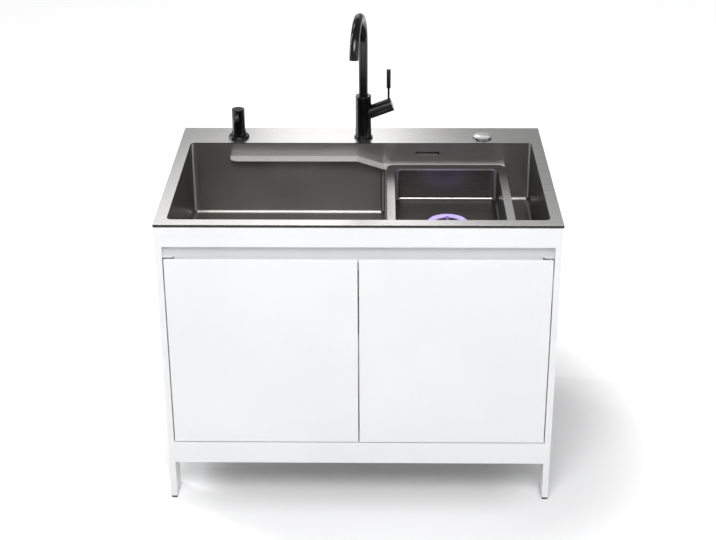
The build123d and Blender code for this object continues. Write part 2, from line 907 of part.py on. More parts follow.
# Strainer housing of the deep bowl: flange, tube, spider floor and threaded tail.
with BuildPart() as left_drain_body:
    body_low = left_floor_z - left_body_depth
    ring(
        left_drain_x,
        drain_line_y,
        left_flange_radius,
        left_body_radius - drain_wall,
        left_floor_z,
        left_floor_z + left_flange_thick,
    )
    ring(
        left_drain_x,
        drain_line_y,
        left_body_radius,
        left_body_radius - drain_wall,
        body_low,
        left_floor_z,
    )
    ring(
        left_drain_x,
        drain_line_y,
        left_body_radius,
        lifter_stem_radius + lifter_play,
        body_low - spider_thick,
        body_low,
    )
    with BuildSketch(Plane.XY.offset(body_low - spider_thick)):
        with Locations((left_drain_x, drain_line_y)):
            with PolarLocations((drain_tail_radius - drain_wall) * 0.62, 4):
                Circle(spider_hole_radius * 0.75)
    extrude(amount=spider_thick, mode=Mode.SUBTRACT)
    ring(
        left_drain_x,
        drain_line_y,
        drain_tail_radius,
        drain_tail_radius - drain_wall,
        body_low - spider_thick - drain_tail_length,
        body_low - spider_thick,
    )
left_drain_body.part.label = "left_drain_body"
export_step(left_drain_body.part, "parts/left_drain_body.step")

# Drain of the shallower bowl: collar up to the pan's floor with weep slots, then the pipe.
with BuildPart() as right_drain_body:
    collar_top = ring_top - ring_thick
    body_low = right_floor_z - right_body_depth
    inner_r = right_pipe_radius - drain_wall
    ring(
        right_drain_x,
        drain_line_y,
        ring_outer,
        ring_outer - 2 * drain_wall,
        right_floor_z,
        collar_top,
    )
    ring(
        right_drain_x,
        drain_line_y,
        ring_outer,
        inner_r,
        right_floor_z,
        right_floor_z + drain_wall,
    )
    ring(right_drain_x, drain_line_y, ring_inner, inner_r, right_floor_z, collar_top)
    ring(right_drain_x, drain_line_y, right_pipe_radius, inner_r, body_low, right_floor_z)
    ring(
        right_drain_x,
        drain_line_y,
        right_pipe_radius,
        drain_tail_radius - drain_wall,
        body_low - spider_thick,
        body_low,
    )
    ring(
        right_drain_x,
        drain_line_y,
        drain_tail_radius,
        drain_tail_radius - drain_wall,
        body_low - spider_thick - drain_tail_length,
        body_low - spider_thick,
    )
    weep_low = right_floor_z + drain_wall
    weep_reach = ring_outer - inner_r + drain_wall
    with BuildSketch(Plane.XY.offset(weep_low)):
        with Locations((right_drain_x, drain_line_y)):
            with PolarLocations(inner_r + weep_reach / 2 - drain_wall / 2, weep_slots):
                Rectangle(weep_reach, weep_width)
    extrude(amount=weep_height, mode=Mode.SUBTRACT)
    # Side port for the overflow pipe.
    port_z = right_floor_z - overflow_entry_drop
    with BuildSketch(Plane.XZ.offset(-(drain_line_y + right_pipe_radius + drain_wall))):
        with Locations((right_drain_x, port_z)):
            Circle(overflow_pipe_radius - overflow_pipe_wall)
    extrude(amount=3 * drain_wall, mode=Mode.SUBTRACT)
right_drain_body.part.label = "right_drain_body"
export_step(right_drain_body.part, "parts/right_drain_body.step")

# Big round nuts that clamp both drains to the bowl floors from below.
with BuildPart() as drain_nuts:
    for x, radius, floor_z in (
        (left_drain_x, left_body_radius, left_floor_z),
        (right_drain_x, right_pipe_radius, right_floor_z),
    ):
        nut_top = floor_z - bowl_sheet
        ring(
            x,
            drain_line_y,
            radius + drain_nut_width,
            radius + pipe_play,
            nut_top - drain_nut_thick,
            nut_top,
        )
drain_nuts.part.label = "drain_nuts"
export_step(drain_nuts.part, "parts/drain_nuts.step")

# Glowing ring on the collar of the right drain.
with BuildPart() as light_ring:
    ring(right_drain_x, drain_line_y, ring_outer, ring_inner, ring_top - ring_thick, ring_top)
light_ring.part.label = "light_ring"
export_step(light_ring.part, "parts/light_ring.step")

# Cross grate inside the ring, resting on the collar's inner wall.
with BuildPart() as cross_grate:
    grate_top = ring_top - cross_drop
    grate_low = ring_top - ring_thick
    grate_reach = ring_inner - pipe_play
    with BuildSketch(Plane.XY.offset(grate_low)):
        with Locations((right_drain_x, drain_line_y)):
            Rectangle(2 * grate_reach, cross_bar)
            Rectangle(cross_bar, 2 * grate_reach)
            Circle(cross_hub_radius)
            Circle(grate_reach, mode=Mode.INTERSECT)
    extrude(amount=grate_top - grate_low)
cross_grate.part.label = "cross_grate"
export_step(cross_grate.part, "parts/cross_grate.step")

# Strainer basket: rim, slotted wall, pierced floor and a finger knob.
with BuildPart() as strainer_basket:
    basket_radius = left_body_radius - drain_wall - basket_play
    rim_low = left_floor_z + left_flange_thick
    basket_low = rim_low - basket_depth
    ring(
        left_drain_x,
        drain_line_y,
        basket_radius + drain_wall + basket_rim_width,
        basket_radius - basket_wall,
        rim_low,
        rim_low + basket_rim_thick,
    )
    ring(
        left_drain_x,
        drain_line_y,
        basket_radius,
        basket_radius - basket_wall,
        basket_low,
        rim_low,
    )
    rod(left_drain_x, drain_line_y, basket_radius, basket_low - basket_wall, basket_low)
    with BuildSketch(Plane.XY.offset(basket_low - basket_wall)):
        with Locations((left_drain_x, drain_line_y)):
            for hole_ring in (0.5, 0.66, 0.82):
                with PolarLocations(basket_radius * hole_ring, basket_slots):
                    Circle(basket_hole_radius)
    extrude(amount=basket_wall, mode=Mode.SUBTRACT)
    slot_low = basket_low + (basket_depth - basket_slot_height) / 2
    with BuildSketch(Plane.XY.offset(slot_low)):
        with Locations((left_drain_x, drain_line_y)):
            with PolarLocations(basket_radius - basket_wall / 2, basket_slots):
                Rectangle(3 * basket_wall, basket_slot_width)
    extrude(amount=basket_slot_height, mode=Mode.SUBTRACT)
    knob_low = basket_low + basket_knob_height
    rod(left_drain_x, drain_line_y, basket_knob_stem, basket_low, knob_low)
    rod(
        left_drain_x,
        drain_line_y,
        basket_knob_radius,
        knob_low,
        knob_low + basket_knob_stem,
    )
strainer_basket.part.label = "strainer_basket"
export_step(strainer_basket.part, "parts/strainer_basket.step")

# Lifter under the basket: a plate on a stem guided in the spider floor.
with BuildPart() as drain_lifter:
    plate_top = left_floor_z + left_flange_thick - basket_depth - basket_wall
    rod(left_drain_x, drain_line_y, lifter_radius, plate_top - lifter_thick, plate_top)
    spider_low = left_floor_z - left_body_depth - spider_thick
    rod(
        left_drain_x,
        drain_line_y,
        lifter_stem_radius,
        spider_low - lifter_stem_length,
        plate_top - lifter_thick,
    )
drain_lifter.part.label = "drain_lifter"
export_step(drain_lifter.part, "parts/drain_lifter.step")

# Overflow box welded behind the slot, open towards it, with a spigot below.
with BuildPart() as overflow_box:
    box_front = bowl_rear + bowl_sheet
    slot_z = top_height - overflow_drop
    box_left = overflow_x - overflow_length / 2 - overflow_box_margin
    box_right = right_drain_x + overflow_pipe_radius + overflow_box_margin
    box_low = slot_z - overflow_height / 2 - overflow_box_margin
    box_high = slot_z + overflow_height / 2 + overflow_box_margin
    box_rear = box_front + overflow_box_depth
    wall = overflow_box_wall
    block(box_left, box_right, box_front, box_rear, box_low, box_high)
    block_cut(
        box_left + wall,
        box_right - wall,
        box_front,
        box_rear - wall,
        box_low + wall,
        box_high - wall,
    )
    spigot_y = (box_front + box_rear) / 2
    rod(
        right_drain_x,
        spigot_y,
        overflow_pipe_radius - overflow_pipe_wall,
        box_low,
        box_low + wall,
        mode=Mode.SUBTRACT,
    )
overflow_box.part.label = "overflow_box"
export_step(overflow_box.part, "parts/overflow_box.step")

# Overflow pipe: down behind the bowl, then forward into the side of the right drain.
with BuildPart() as overflow_pipe:
    port_z = right_floor_z - overflow_entry_drop
    pipe_top = top_height - overflow_drop - overflow_height / 2 - overflow_box_margin
    pipe_y = bowl_rear + bowl_sheet + overflow_box_depth / 2
    pipe_end = drain_line_y + right_pipe_radius
    with BuildLine() as overflow_path:
        Polyline(
            (right_drain_x, pipe_y, pipe_top),
            (right_drain_x, pipe_y, port_z),
            (right_drain_x, pipe_end, port_z),
        )
        fillet(overflow_path.vertices().group_by(Axis.Z)[0].sort_by(Axis.Y)[-1], overflow_bend)
    with BuildSketch(Plane((right_drain_x, pipe_y, pipe_top), z_dir=(0, 0, -1))):
        Circle(overflow_pipe_radius)
        Circle(overflow_pipe_radius - overflow_pipe_wall, mode=Mode.SUBTRACT)
    sweep(path=overflow_path.line)
overflow_pipe.part.label = "overflow_pipe"
export_step(overflow_pipe.part, "parts/overflow_pipe.step")

# =========================================================================
# Waste pipes and bottle trap
# =========================================================================


def waste_pipe(start_x, start_z, end_x):
    """Bent pipe from a drain's tail down to the waste line and along it to the trap's tee."""
    with BuildPart() as pipe:
        with BuildLine() as path:
            Polyline(
                (start_x, drain_line_y, start_z),
                (start_x, drain_line_y, waste_line_z),
                (end_x, drain_line_y, waste_line_z),
            )
            corner = path.vertices().group_by(Axis.Z)[0].sort_by(Axis.X)
            fillet(corner[0] if end_x > start_x else corner[-1], pipe_bend)
        with BuildSketch(Plane((start_x, drain_line_y, start_z), z_dir=(0, 0, -1))):
            Circle(pipe_radius)
            Circle(pipe_radius - pipe_wall, mode=Mode.SUBTRACT)
        sweep(path=path.line)
    return pipe.part


left_tail_end = left_floor_z - left_body_depth - spider_thick - drain_tail_length
right_tail_end = right_floor_z - right_body_depth - spider_thick - drain_tail_length

with BuildPart() as left_waste_pipe:
    add(waste_pipe(left_drain_x, left_tail_end, trap_x - tee_half))
left_waste_pipe.part.label = "left_waste_pipe"
export_step(left_waste_pipe.part, "parts/left_waste_pipe.step")

with BuildPart() as right_waste_pipe:
    add(waste_pipe(right_drain_x, right_tail_end, trap_x + tee_half))
right_waste_pipe.part.label = "right_waste_pipe"
export_step(right_waste_pipe.part, "parts/right_waste_pipe.step")

# Tee, neck, dip tube and side outlet boss of the bottle trap in one moulding.
with BuildPart() as trap_body:
    with BuildSketch(Plane.YZ.offset(trap_x - tee_half)):
        with Locations((drain_line_y, waste_line_z)):
            Circle(tee_radius)
    extrude(amount=2 * tee_half)
    rod(trap_x, drain_line_y, trap_neck_radius, trap_neck_bottom, trap_neck_top)
    rod(trap_x, drain_line_y, tee_stub_radius, trap_neck_top, waste_line_z)
    rod(trap_x, drain_line_y, dip_radius, dip_bottom, trap_neck_bottom)
    with BuildSketch(Plane.XZ.offset(-drain_line_y)):
        with Locations((trap_x, outlet_z)):
            Circle(outlet_boss)
    extrude(amount=-outlet_boss_reach)
    with BuildSketch(Plane.YZ.offset(trap_x - tee_half)):
        with Locations((drain_line_y, waste_line_z)):
            Circle(pipe_radius - pipe_wall)
    extrude(amount=2 * tee_half, mode=Mode.SUBTRACT)
    rod(
        trap_x,
        drain_line_y,
        dip_radius - pipe_wall,
        dip_bottom,
        waste_line_z,
        mode=Mode.SUBTRACT,
    )
    with BuildSketch(Plane.XY.offset(trap_neck_bottom)):
        with Locations((trap_x, drain_line_y)):
            Circle(trap_neck_radius - pipe_wall)
            Circle(dip_radius, mode=Mode.SUBTRACT)
    extrude(amount=trap_neck_top - pipe_wall - trap_neck_bottom, mode=Mode.SUBTRACT)
    with BuildSketch(Plane.XZ.offset(-(drain_line_y + outlet_boss_reach))):
        with Locations((trap_x, outlet_z)):
            Circle(pipe_radius - pipe_wall)
    extrude(amount=outlet_boss_reach - trap_neck_radius + 3 * pipe_wall, mode=Mode.SUBTRACT)
trap_body.part.label = "trap_body"
export_step(trap_body.part, "parts/trap_body.step")

# Screw-on cup under the trap.
with BuildPart() as trap_cup:
    cup_inner = trap_neck_radius + trap_thread_play
    cup_top_z = outlet_z - outlet_boss - trap_thread_play
    rod(trap_x, drain_line_y, cup_outer, trap_cup_bottom, cup_top_z)
    fillet(trap_cup.faces().sort_by(Axis.Z)[0].edges(), radius=trap_cup_wall * 2)
    rod(
        trap_x,
        drain_line_y,
        cup_inner,
        trap_neck_bottom,
        cup_top_z,
        mode=Mode.SUBTRACT,
    )
    rod(
        trap_x,
        drain_line_y,
        cup_inner - trap_cup_wall,
        trap_cup_bottom + trap_cup_wall,
        trap_neck_bottom,
        mode=Mode.SUBTRACT,
    )
trap_cup.part.label = "trap_cup"
export_step(trap_cup.part, "parts/trap_cup.step")

# Straight outlet pipe to the rear.
with BuildPart() as outlet_pipe:
    outlet_start = drain_line_y + outlet_boss_reach
    with BuildSketch(Plane.XZ.offset(-outlet_start)):
        with Locations((trap_x, outlet_z)):
            Circle(pipe_radius)
            Circle(pipe_radius - pipe_wall, mode=Mode.SUBTRACT)
    extrude(amount=-(rear_y - outlet_start))
    bead_start = rear_y - spigot_length - spigot_bead
    with BuildSketch(Plane.XZ.offset(-bead_start)):
        with Locations((trap_x, outlet_z)):
            Circle(pipe_radius + spigot_bead)
            Circle(pipe_radius - pipe_wall, mode=Mode.SUBTRACT)
    extrude(amount=-spigot_bead)
outlet_pipe.part.label = "outlet_pipe"
export_step(outlet_pipe.part, "parts/outlet_pipe.step")

# Union nuts round the pipe joints.
with BuildPart() as pipe_nuts:
    nut_outer = pipe_radius + nut_wall
    nut_inner = pipe_radius + pipe_play
    for x, z in ((left_drain_x, left_tail_end), (right_drain_x, right_tail_end)):
        ring(x, drain_line_y, nut_outer, nut_inner, z - nut_length / 2, z + nut_length / 2)
    for plane_x in (trap_x - tee_half - nut_length, trap_x + tee_half):
        with BuildSketch(Plane.YZ.offset(plane_x)):
            with Locations((drain_line_y, waste_line_z)):
                Circle(nut_outer)
                Circle(nut_inner, mode=Mode.SUBTRACT)
        extrude(amount=nut_length)
    with BuildSketch(Plane.XZ.offset(-(drain_line_y + outlet_boss_reach))):
        with Locations((trap_x, outlet_z)):
            Circle(nut_outer)
            Circle(nut_inner, mode=Mode.SUBTRACT)
    extrude(amount=-nut_length)
pipe_nuts.part.label = "pipe_nuts"
export_step(pipe_nuts.part, "parts/pipe_nuts.step")

# =========================================================================
# Mixer
# =========================================================================

tilt = math.radians(hub_tilt)
hub_direction = (math.cos(tilt), 0, math.sin(tilt))
hub_origin = (mixer_x, fitting_y, top_height + hub_height)


def hub_plane(distance):
    """Plane square to the hub axis at a distance from the mixer's own axis."""
    centre = (
        hub_origin[0] + distance * hub_direction[0],
        hub_origin[1],
        hub_origin[2] + distance * hub_direction[2],
    )
    return Plane(centre, x_dir=(0, 1, 0), z_dir=hub_direction)


lever_distance = (lever_x - mixer_x) / math.cos(tilt)
lever_pivot_z = top_height + hub_height + (lever_x - mixer_x) * math.tan(tilt)

with BuildPart() as faucet_base_ring:
    ring(
        mixer_x,
        fitting_y,
        base_ring_radius,
        shank_radius + pipe_play,
        top_height,
        top_height + base_ring_height,
    )
    chamfer(
        faucet_base_ring.faces().sort_by(Axis.Z)[-1].edges().sort_by(SortBy.LENGTH)[-1],
        length=base_ring_height / 4,
    )
faucet_base_ring.part.label = "faucet_base_ring"
export_step(faucet_base_ring.part, "parts/faucet_base_ring.step")

# Mixer body with the tilted side hub, bored for the spout and for the cartridge.
with BuildPart() as faucet_body:
    rod(
        mixer_x,
        fitting_y,
        mixer_radius,
        top_height + base_ring_height,
        top_height + mixer_height,
    )
    fillet(faucet_body.faces().sort_by(Axis.Z)[-1].edges(), radius=mixer_edge)
    with BuildSketch(hub_plane(0)):
        Circle(hub_radius)
    extrude(amount=hub_end)
    with BuildSketch(hub_plane(hub_bore_start)):
        Circle(hub_bore)
    extrude(amount=hub_end - hub_bore_start, mode=Mode.SUBTRACT)
    rod(
        mixer_x,
        fitting_y,
        spout_radius + spout_play,
        top_height + mixer_height - spout_seat,
        top_height + mixer_height,
        mode=Mode.SUBTRACT,
    )
faucet_body.part.label = "faucet_body"
export_step(faucet_body.part, "parts/faucet_body.step")

# Threaded shank through the deck.
with BuildPart() as faucet_shank:
    ring(
        mixer_x,
        fitting_y,
        shank_radius,
        shank_radius - shank_wall,
        top_height - shank_length,
        top_height + base_ring_height,
    )
faucet_shank.part.label = "faucet_shank"
export_step(faucet_shank.part, "parts/faucet_shank.step")

# Nuts under the deck: mixer, soap pump and control knob.
with BuildPart() as deck_nuts:
    for x, y, radius in (
        (mixer_x, fitting_y, shank_radius),
        (soap_x, fitting_y, soap_shank_radius),
        (knob_x, knob_y, knob_sleeve_radius),
    ):
        with BuildSketch(Plane.XY.offset(deck_under - deck_nut_thick)):
            with Locations((x, y)):
                RegularPolygon(radius + deck_nut_wall, 6, major_radius=False)
                Circle(radius + pipe_play, mode=Mode.SUBTRACT)
        extrude(amount=deck_nut_thick)
deck_nuts.part.label = "deck_nuts"
export_step(deck_nuts.part, "parts/deck_nuts.step")

# Hot and cold tails: tubes down from the mixer with a threaded end each.
with BuildPart() as faucet_inlets:
    with BuildSketch(Plane.XY.offset(top_height - inlet_bottom)):
        with Locations((mixer_x, fitting_y)):
            with GridLocations(2 * inlet_spread, 1, 2, 1):
                Circle(inlet_radius)
    extrude(amount=inlet_bottom + base_ring_height)
    with BuildSketch(Plane.XY.offset(top_height - inlet_bottom)):
        with Locations((mixer_x, fitting_y)):
            with GridLocations(2 * inlet_spread, 1, 2, 1):
                Circle(inlet_thread_radius)
    extrude(amount=inlet_thread_length)
faucet_inlets.part.label = "faucet_inlets"
export_step(faucet_inlets.part, "parts/faucet_inlets.step")

# Valve cartridge in the hub, reaching into the cap.
with BuildPart() as cartridge:
    with BuildSketch(hub_plane(hub_bore_start)):
        Circle(cartridge_radius)
    extrude(amount=cartridge_end - hub_bore_start)
cartridge.part.label = "cartridge"
export_step(cartridge.part, "parts/cartridge.step")

# Turning cap with a notch for the lever.
with BuildPart() as handle_cap:
    cap_start = hub_end + cap_gap
    with BuildSketch(hub_plane(cap_start)):
        Circle(hub_radius)
    extrude(amount=cap_end - cap_start)
    cap_front = handle_cap.faces().sort_by(Axis.X)[-1]
    fillet(cap_front.edges(), radius=cap_edge)
    with BuildSketch(hub_plane(cap_start)):
        Circle(hub_radius - cap_wall)
    extrude(amount=cap_end - cap_wall - cap_start, mode=Mode.SUBTRACT)
    # Slot swept by the lever from upright to fully tipped.
    slot_half = lever_stem + lever_slot_play
    slot_reach = 2 * hub_radius
    tip = math.radians(lever_lift)
    with BuildSketch(Plane.XZ.offset(-(fitting_y + slot_half))):
        with BuildLine():
            Polyline(
                (lever_x - slot_half, lever_pivot_z),
                (lever_x - slot_half, lever_pivot_z + slot_reach),
                (lever_x + slot_reach * math.tan(tip) + slot_half, lever_pivot_z + slot_reach),
                (lever_x + slot_half / math.cos(tip), lever_pivot_z),
                close=True,
            )
        make_face()
    extrude(amount=2 * slot_half, mode=Mode.SUBTRACT)
handle_cap.part.label = "handle_cap"
export_step(handle_cap.part, "parts/handle_cap.step")

# Carrier block inside the cap with the cross pin of the lever.
with BuildPart() as lever_carrier:
    carrier_radius = hub_radius - cap_wall - carrier_play
    carrier_end = cap_end - cap_wall
    with BuildSketch(hub_plane(carrier_start)):
        Circle(carrier_radius)
    extrude(amount=carrier_end - carrier_start)
    slot_half = lever_stem + lever_slot_play
    with BuildSketch(Plane.XZ.offset(-(fitting_y + slot_half))):
        with Locations((lever_x, lever_pivot_z)):
            Rectangle(4 * hub_radius, 4 * hub_radius)
    extrude(amount=2 * slot_half, mode=Mode.SUBTRACT)
    with BuildSketch(Plane.XZ.offset(-(fitting_y + carrier_radius - carrier_play))):
        with Locations((lever_x, lever_pivot_z)):
            Circle(lever_pin)
    extrude(amount=2 * (carrier_radius - carrier_play))
lever_carrier.part.label = "lever_carrier"
export_step(lever_carrier.part, "parts/lever_carrier.step")

# Lever: thin stem with a thicker round grip, bored for the cross pin.
with BuildPart() as lever:
    grip_low = top_height + lever_stem_top
    rod(lever_x, fitting_y, lever_stem, lever_pivot_z - lever_heel, grip_low)
    rod(lever_x, fitting_y, lever_grip, grip_low, top_height + lever_top)
    fillet(lever.faces().sort_by(Axis.Z)[-1].edges(), radius=lever_edge)
    with BuildSketch(Plane.XZ.offset(-(fitting_y + lever_stem))):
        with Locations((lever_x, lever_pivot_z)):
            Circle(lever_pin + lever_pin_play)
    extrude(amount=2 * lever_stem, mode=Mode.SUBTRACT)
lever.part.label = "lever"
export_step(lever.part, "parts/lever.step")

# Gooseneck: straight riser, arch and short fall, turned a little to the left.
spout_heading = (-math.sin(math.radians(spout_turn)), -math.cos(math.radians(spout_turn)), 0)
spout_side = (spout_heading[1], -spout_heading[0], 0)
spout_plane = Plane(
    (mixer_x, fitting_y, top_height), x_dir=spout_heading, z_dir=spout_side
)
spout_start = mixer_height - spout_seat

with BuildPart() as spout:
    with BuildLine(spout_plane) as spout_path:
        riser_top = (0, -spout_arch_height) if spout_plane.y_dir.Z < 0 else (0, spout_arch_height)
        up = riser_top[1] / spout_arch_height
        Line((0, up * spout_start), riser_top)
        CenterArc(
            (spout_arch, up * spout_arch_height),
            spout_arch,
            180,
            -up * spout_arc_angle,
        )
    with BuildSketch(Plane.XY.offset(top_height + spout_start)):
        with Locations((mixer_x, fitting_y)):
            Circle(spout_radius)
            Circle(spout_radius - spout_wall, mode=Mode.SUBTRACT)
    sweep(path=spout_path.line)
spout.part.label = "spout"
export_step(spout.part, "parts/spout.step")

# Aerator set into the spout's mouth.
with BuildPart() as aerator:
    mouth = spout_path.line @ 1
    mouth_direction = spout_path.line % 1
    with BuildSketch(Plane(mouth, z_dir=-mouth_direction)):
        Circle(spout_radius - spout_wall - aerator_play)
    extrude(amount=aerator_length)
    with BuildSketch(Plane(mouth, z_dir=-mouth_direction)):
        with PolarLocations((spout_radius - spout_wall) / 2, 6):
            Circle(aerator_rib)
        Circle(aerator_rib)
    extrude(amount=aerator_length / 3, mode=Mode.SUBTRACT)
aerator.part.label = "aerator"
export_step(aerator.part, "parts/aerator.step")

# =========================================================================
# Soap pump
# =========================================================================

soap_bore = soap_head_radius + soap_collar_play

# Flange on the deck with its threaded shank and the guide for the pump rod.
with BuildPart() as soap_base:
    rod(soap_x, fitting_y, soap_flange_radius, top_height, top_height + soap_flange_height)
    fillet(soap_base.faces().sort_by(Axis.Z)[-1].edges(), radius=soap_flange_round)
    rod(soap_x, fitting_y, soap_shank_radius, top_height - soap_bottle_top, top_height)
    head_low = soap_collar_top - soap_press - 2 * soap_collar_play
    rod(
        soap_x,
        fitting_y,
        soap_bore,
        top_height + head_low / 2,
        top_height + soap_flange_height,
        mode=Mode.SUBTRACT,
    )
    rod(
        soap_x,
        fitting_y,
        soap_rod_radius + soap_rod_play,
        top_height - soap_bottle_top,
        top_height + head_low,
        mode=Mode.SUBTRACT,
    )
soap_base.part.label = "soap_base"
export_step(soap_base.part, "parts/soap_base.step")

# Turning collar above the flange, which the head slides into.
with BuildPart() as soap_collar:
    ring(
        soap_x,
        fitting_y,
        soap_collar_radius,
        soap_bore,
        top_height + soap_flange_height,
        top_height + soap_collar_top,
    )
soap_collar.part.label = "soap_collar"
export_step(soap_collar.part, "parts/soap_collar.step")

# Pressing head with its nozzle towards the front and the rod down to the pump.
with BuildPart() as soap_head:
    head_low_z = top_height + soap_collar_top - soap_collar_play * 2
    rod(soap_x, fitting_y, soap_head_radius, head_low_z, top_height + soap_head_top)
    fillet(soap_head.faces().sort_by(Axis.Z)[-1].edges(), radius=soap_head_edge)
    rod(soap_x, fitting_y, soap_rod_radius, top_height - soap_rod_length, head_low_z)
    nozzle_z = top_height + soap_head_top - soap_nozzle_drop
    with BuildSketch(Plane.XZ.offset(-fitting_y)):
        with Locations((soap_x, nozzle_z)):
            Circle(soap_nozzle_radius)
    extrude(amount=soap_nozzle_reach)
    rod(
        soap_x,
        fitting_y - soap_nozzle_reach,
        soap_nozzle_radius,
        nozzle_z - soap_nozzle_tip,
        nozzle_z,
    )
    with BuildPart(Plane((soap_x, fitting_y - soap_nozzle_reach, nozzle_z))):
        Sphere(soap_nozzle_radius)
soap_head.part.label = "soap_head"
export_step(soap_head.part, "parts/soap_head.step")

# Bottle screwed on below the deck.
with BuildPart() as soap_bottle:
    bottle_high = top_height - soap_bottle_top
    bottle_low = top_height - soap_bottle_bottom
    rod(soap_x, fitting_y, soap_bottle_radius, bottle_low, bottle_high)
    fillet(soap_bottle.edges(), radius=soap_bottle_round)
    inner_radius = soap_bottle_radius - soap_bottle_wall
    rod(
        soap_x,
        fitting_y,
        inner_radius,
        bottle_low + soap_bottle_round,
        bottle_high - soap_bottle_round,
        mode=Mode.SUBTRACT,
    )
    neck_inner = soap_shank_radius + pipe_play
    neck_top = deck_under - deck_nut_thick - soap_neck_wall
    rod(soap_x, fitting_y, neck_inner + soap_neck_wall, bottle_high, neck_top)
    rod(
        soap_x,
        fitting_y,
        neck_inner,
        bottle_high - soap_bottle_round,
        neck_top,
        mode=Mode.SUBTRACT,
    )
soap_bottle.part.label = "soap_bottle"
export_step(soap_bottle.part, "parts/soap_bottle.step")

# =========================================================================
# Control knob
# =========================================================================

# Low round base with the sleeve below the deck.
with BuildPart() as knob_base:
    well_radius = knob_disc_radius + knob_well_play
    rod(knob_x, knob_y, knob_base_radius, top_height, top_height + knob_top - knob_travel)
    rod(knob_x, knob_y, knob_sleeve_radius, top_height - knob_sleeve_length, top_height)
    rod(
        knob_x,
        knob_y,
        well_radius,
        top_height + knob_base_height - knob_rim_width,
        top_height + knob_top - knob_travel,
        mode=Mode.SUBTRACT,
    )
    rod(
        knob_x,
        knob_y,
        knob_stem_radius + knob_stem_play,
        top_height - knob_sleeve_length,
        top_height + knob_base_height,
        mode=Mode.SUBTRACT,
    )
knob_base.part.label = "knob_base"
export_step(knob_base.part, "parts/knob_base.step")

with BuildPart() as knob_disc:
    disc_low = top_height + knob_base_height - knob_rim_width + knob_travel + knob_stem_play
    rod(knob_x, knob_y, knob_disc_radius, disc_low, top_height + knob_top)
    fillet(knob_disc.faces().sort_by(Axis.Z)[-1].edges(), radius=knob_disc_edge)
    rod(
        knob_x,
        knob_y,
        knob_stem_radius,
        top_height - knob_sleeve_length + knob_travel,
        disc_low,
    )
knob_disc.part.label = "knob_disc"
export_step(knob_disc.part, "parts/knob_disc.step")
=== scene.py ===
import json
import math

import bmesh
import bpy
from mathutils import Matrix, Vector


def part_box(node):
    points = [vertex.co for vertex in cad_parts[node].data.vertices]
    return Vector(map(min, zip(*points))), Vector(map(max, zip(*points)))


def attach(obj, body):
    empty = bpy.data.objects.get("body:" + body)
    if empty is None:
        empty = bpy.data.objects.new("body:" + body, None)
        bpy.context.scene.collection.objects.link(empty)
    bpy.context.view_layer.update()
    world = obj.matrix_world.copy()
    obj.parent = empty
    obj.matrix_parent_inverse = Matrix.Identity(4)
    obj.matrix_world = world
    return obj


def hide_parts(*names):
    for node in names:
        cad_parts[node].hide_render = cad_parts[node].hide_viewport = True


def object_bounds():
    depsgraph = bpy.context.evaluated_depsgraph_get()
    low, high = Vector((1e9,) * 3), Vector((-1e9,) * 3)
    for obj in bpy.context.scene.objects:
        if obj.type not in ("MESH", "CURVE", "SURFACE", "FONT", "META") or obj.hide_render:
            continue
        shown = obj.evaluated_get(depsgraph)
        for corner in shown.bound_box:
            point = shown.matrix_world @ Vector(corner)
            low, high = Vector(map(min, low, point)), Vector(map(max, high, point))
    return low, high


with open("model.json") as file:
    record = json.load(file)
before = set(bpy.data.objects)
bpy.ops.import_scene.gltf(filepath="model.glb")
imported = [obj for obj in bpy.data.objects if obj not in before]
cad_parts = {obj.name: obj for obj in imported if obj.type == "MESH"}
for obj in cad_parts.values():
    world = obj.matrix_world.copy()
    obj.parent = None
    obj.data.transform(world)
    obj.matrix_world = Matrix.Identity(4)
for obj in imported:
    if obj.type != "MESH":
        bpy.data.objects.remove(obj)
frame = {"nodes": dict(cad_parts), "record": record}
nodes = frame["nodes"]
cad_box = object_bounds()
scene = bpy.context.scene

# Strength of the world at the horizon and overhead, of the sun, and of the main soft boxes.
HORIZON, OVERHEAD = 0.56, 0.28
SUN, FRONT, BACK = 0.32, 6.3, 1.4


# ------------------------------------------------------------------ node tools
# From where to where each mask of the surface's direction grows.
FACING_RANGE = (0.62, 0.78)
WALL_ROUND_RANGE = (0.36, 0.48)
LOW_ROUND_RANGE = (0.25, 0.5)


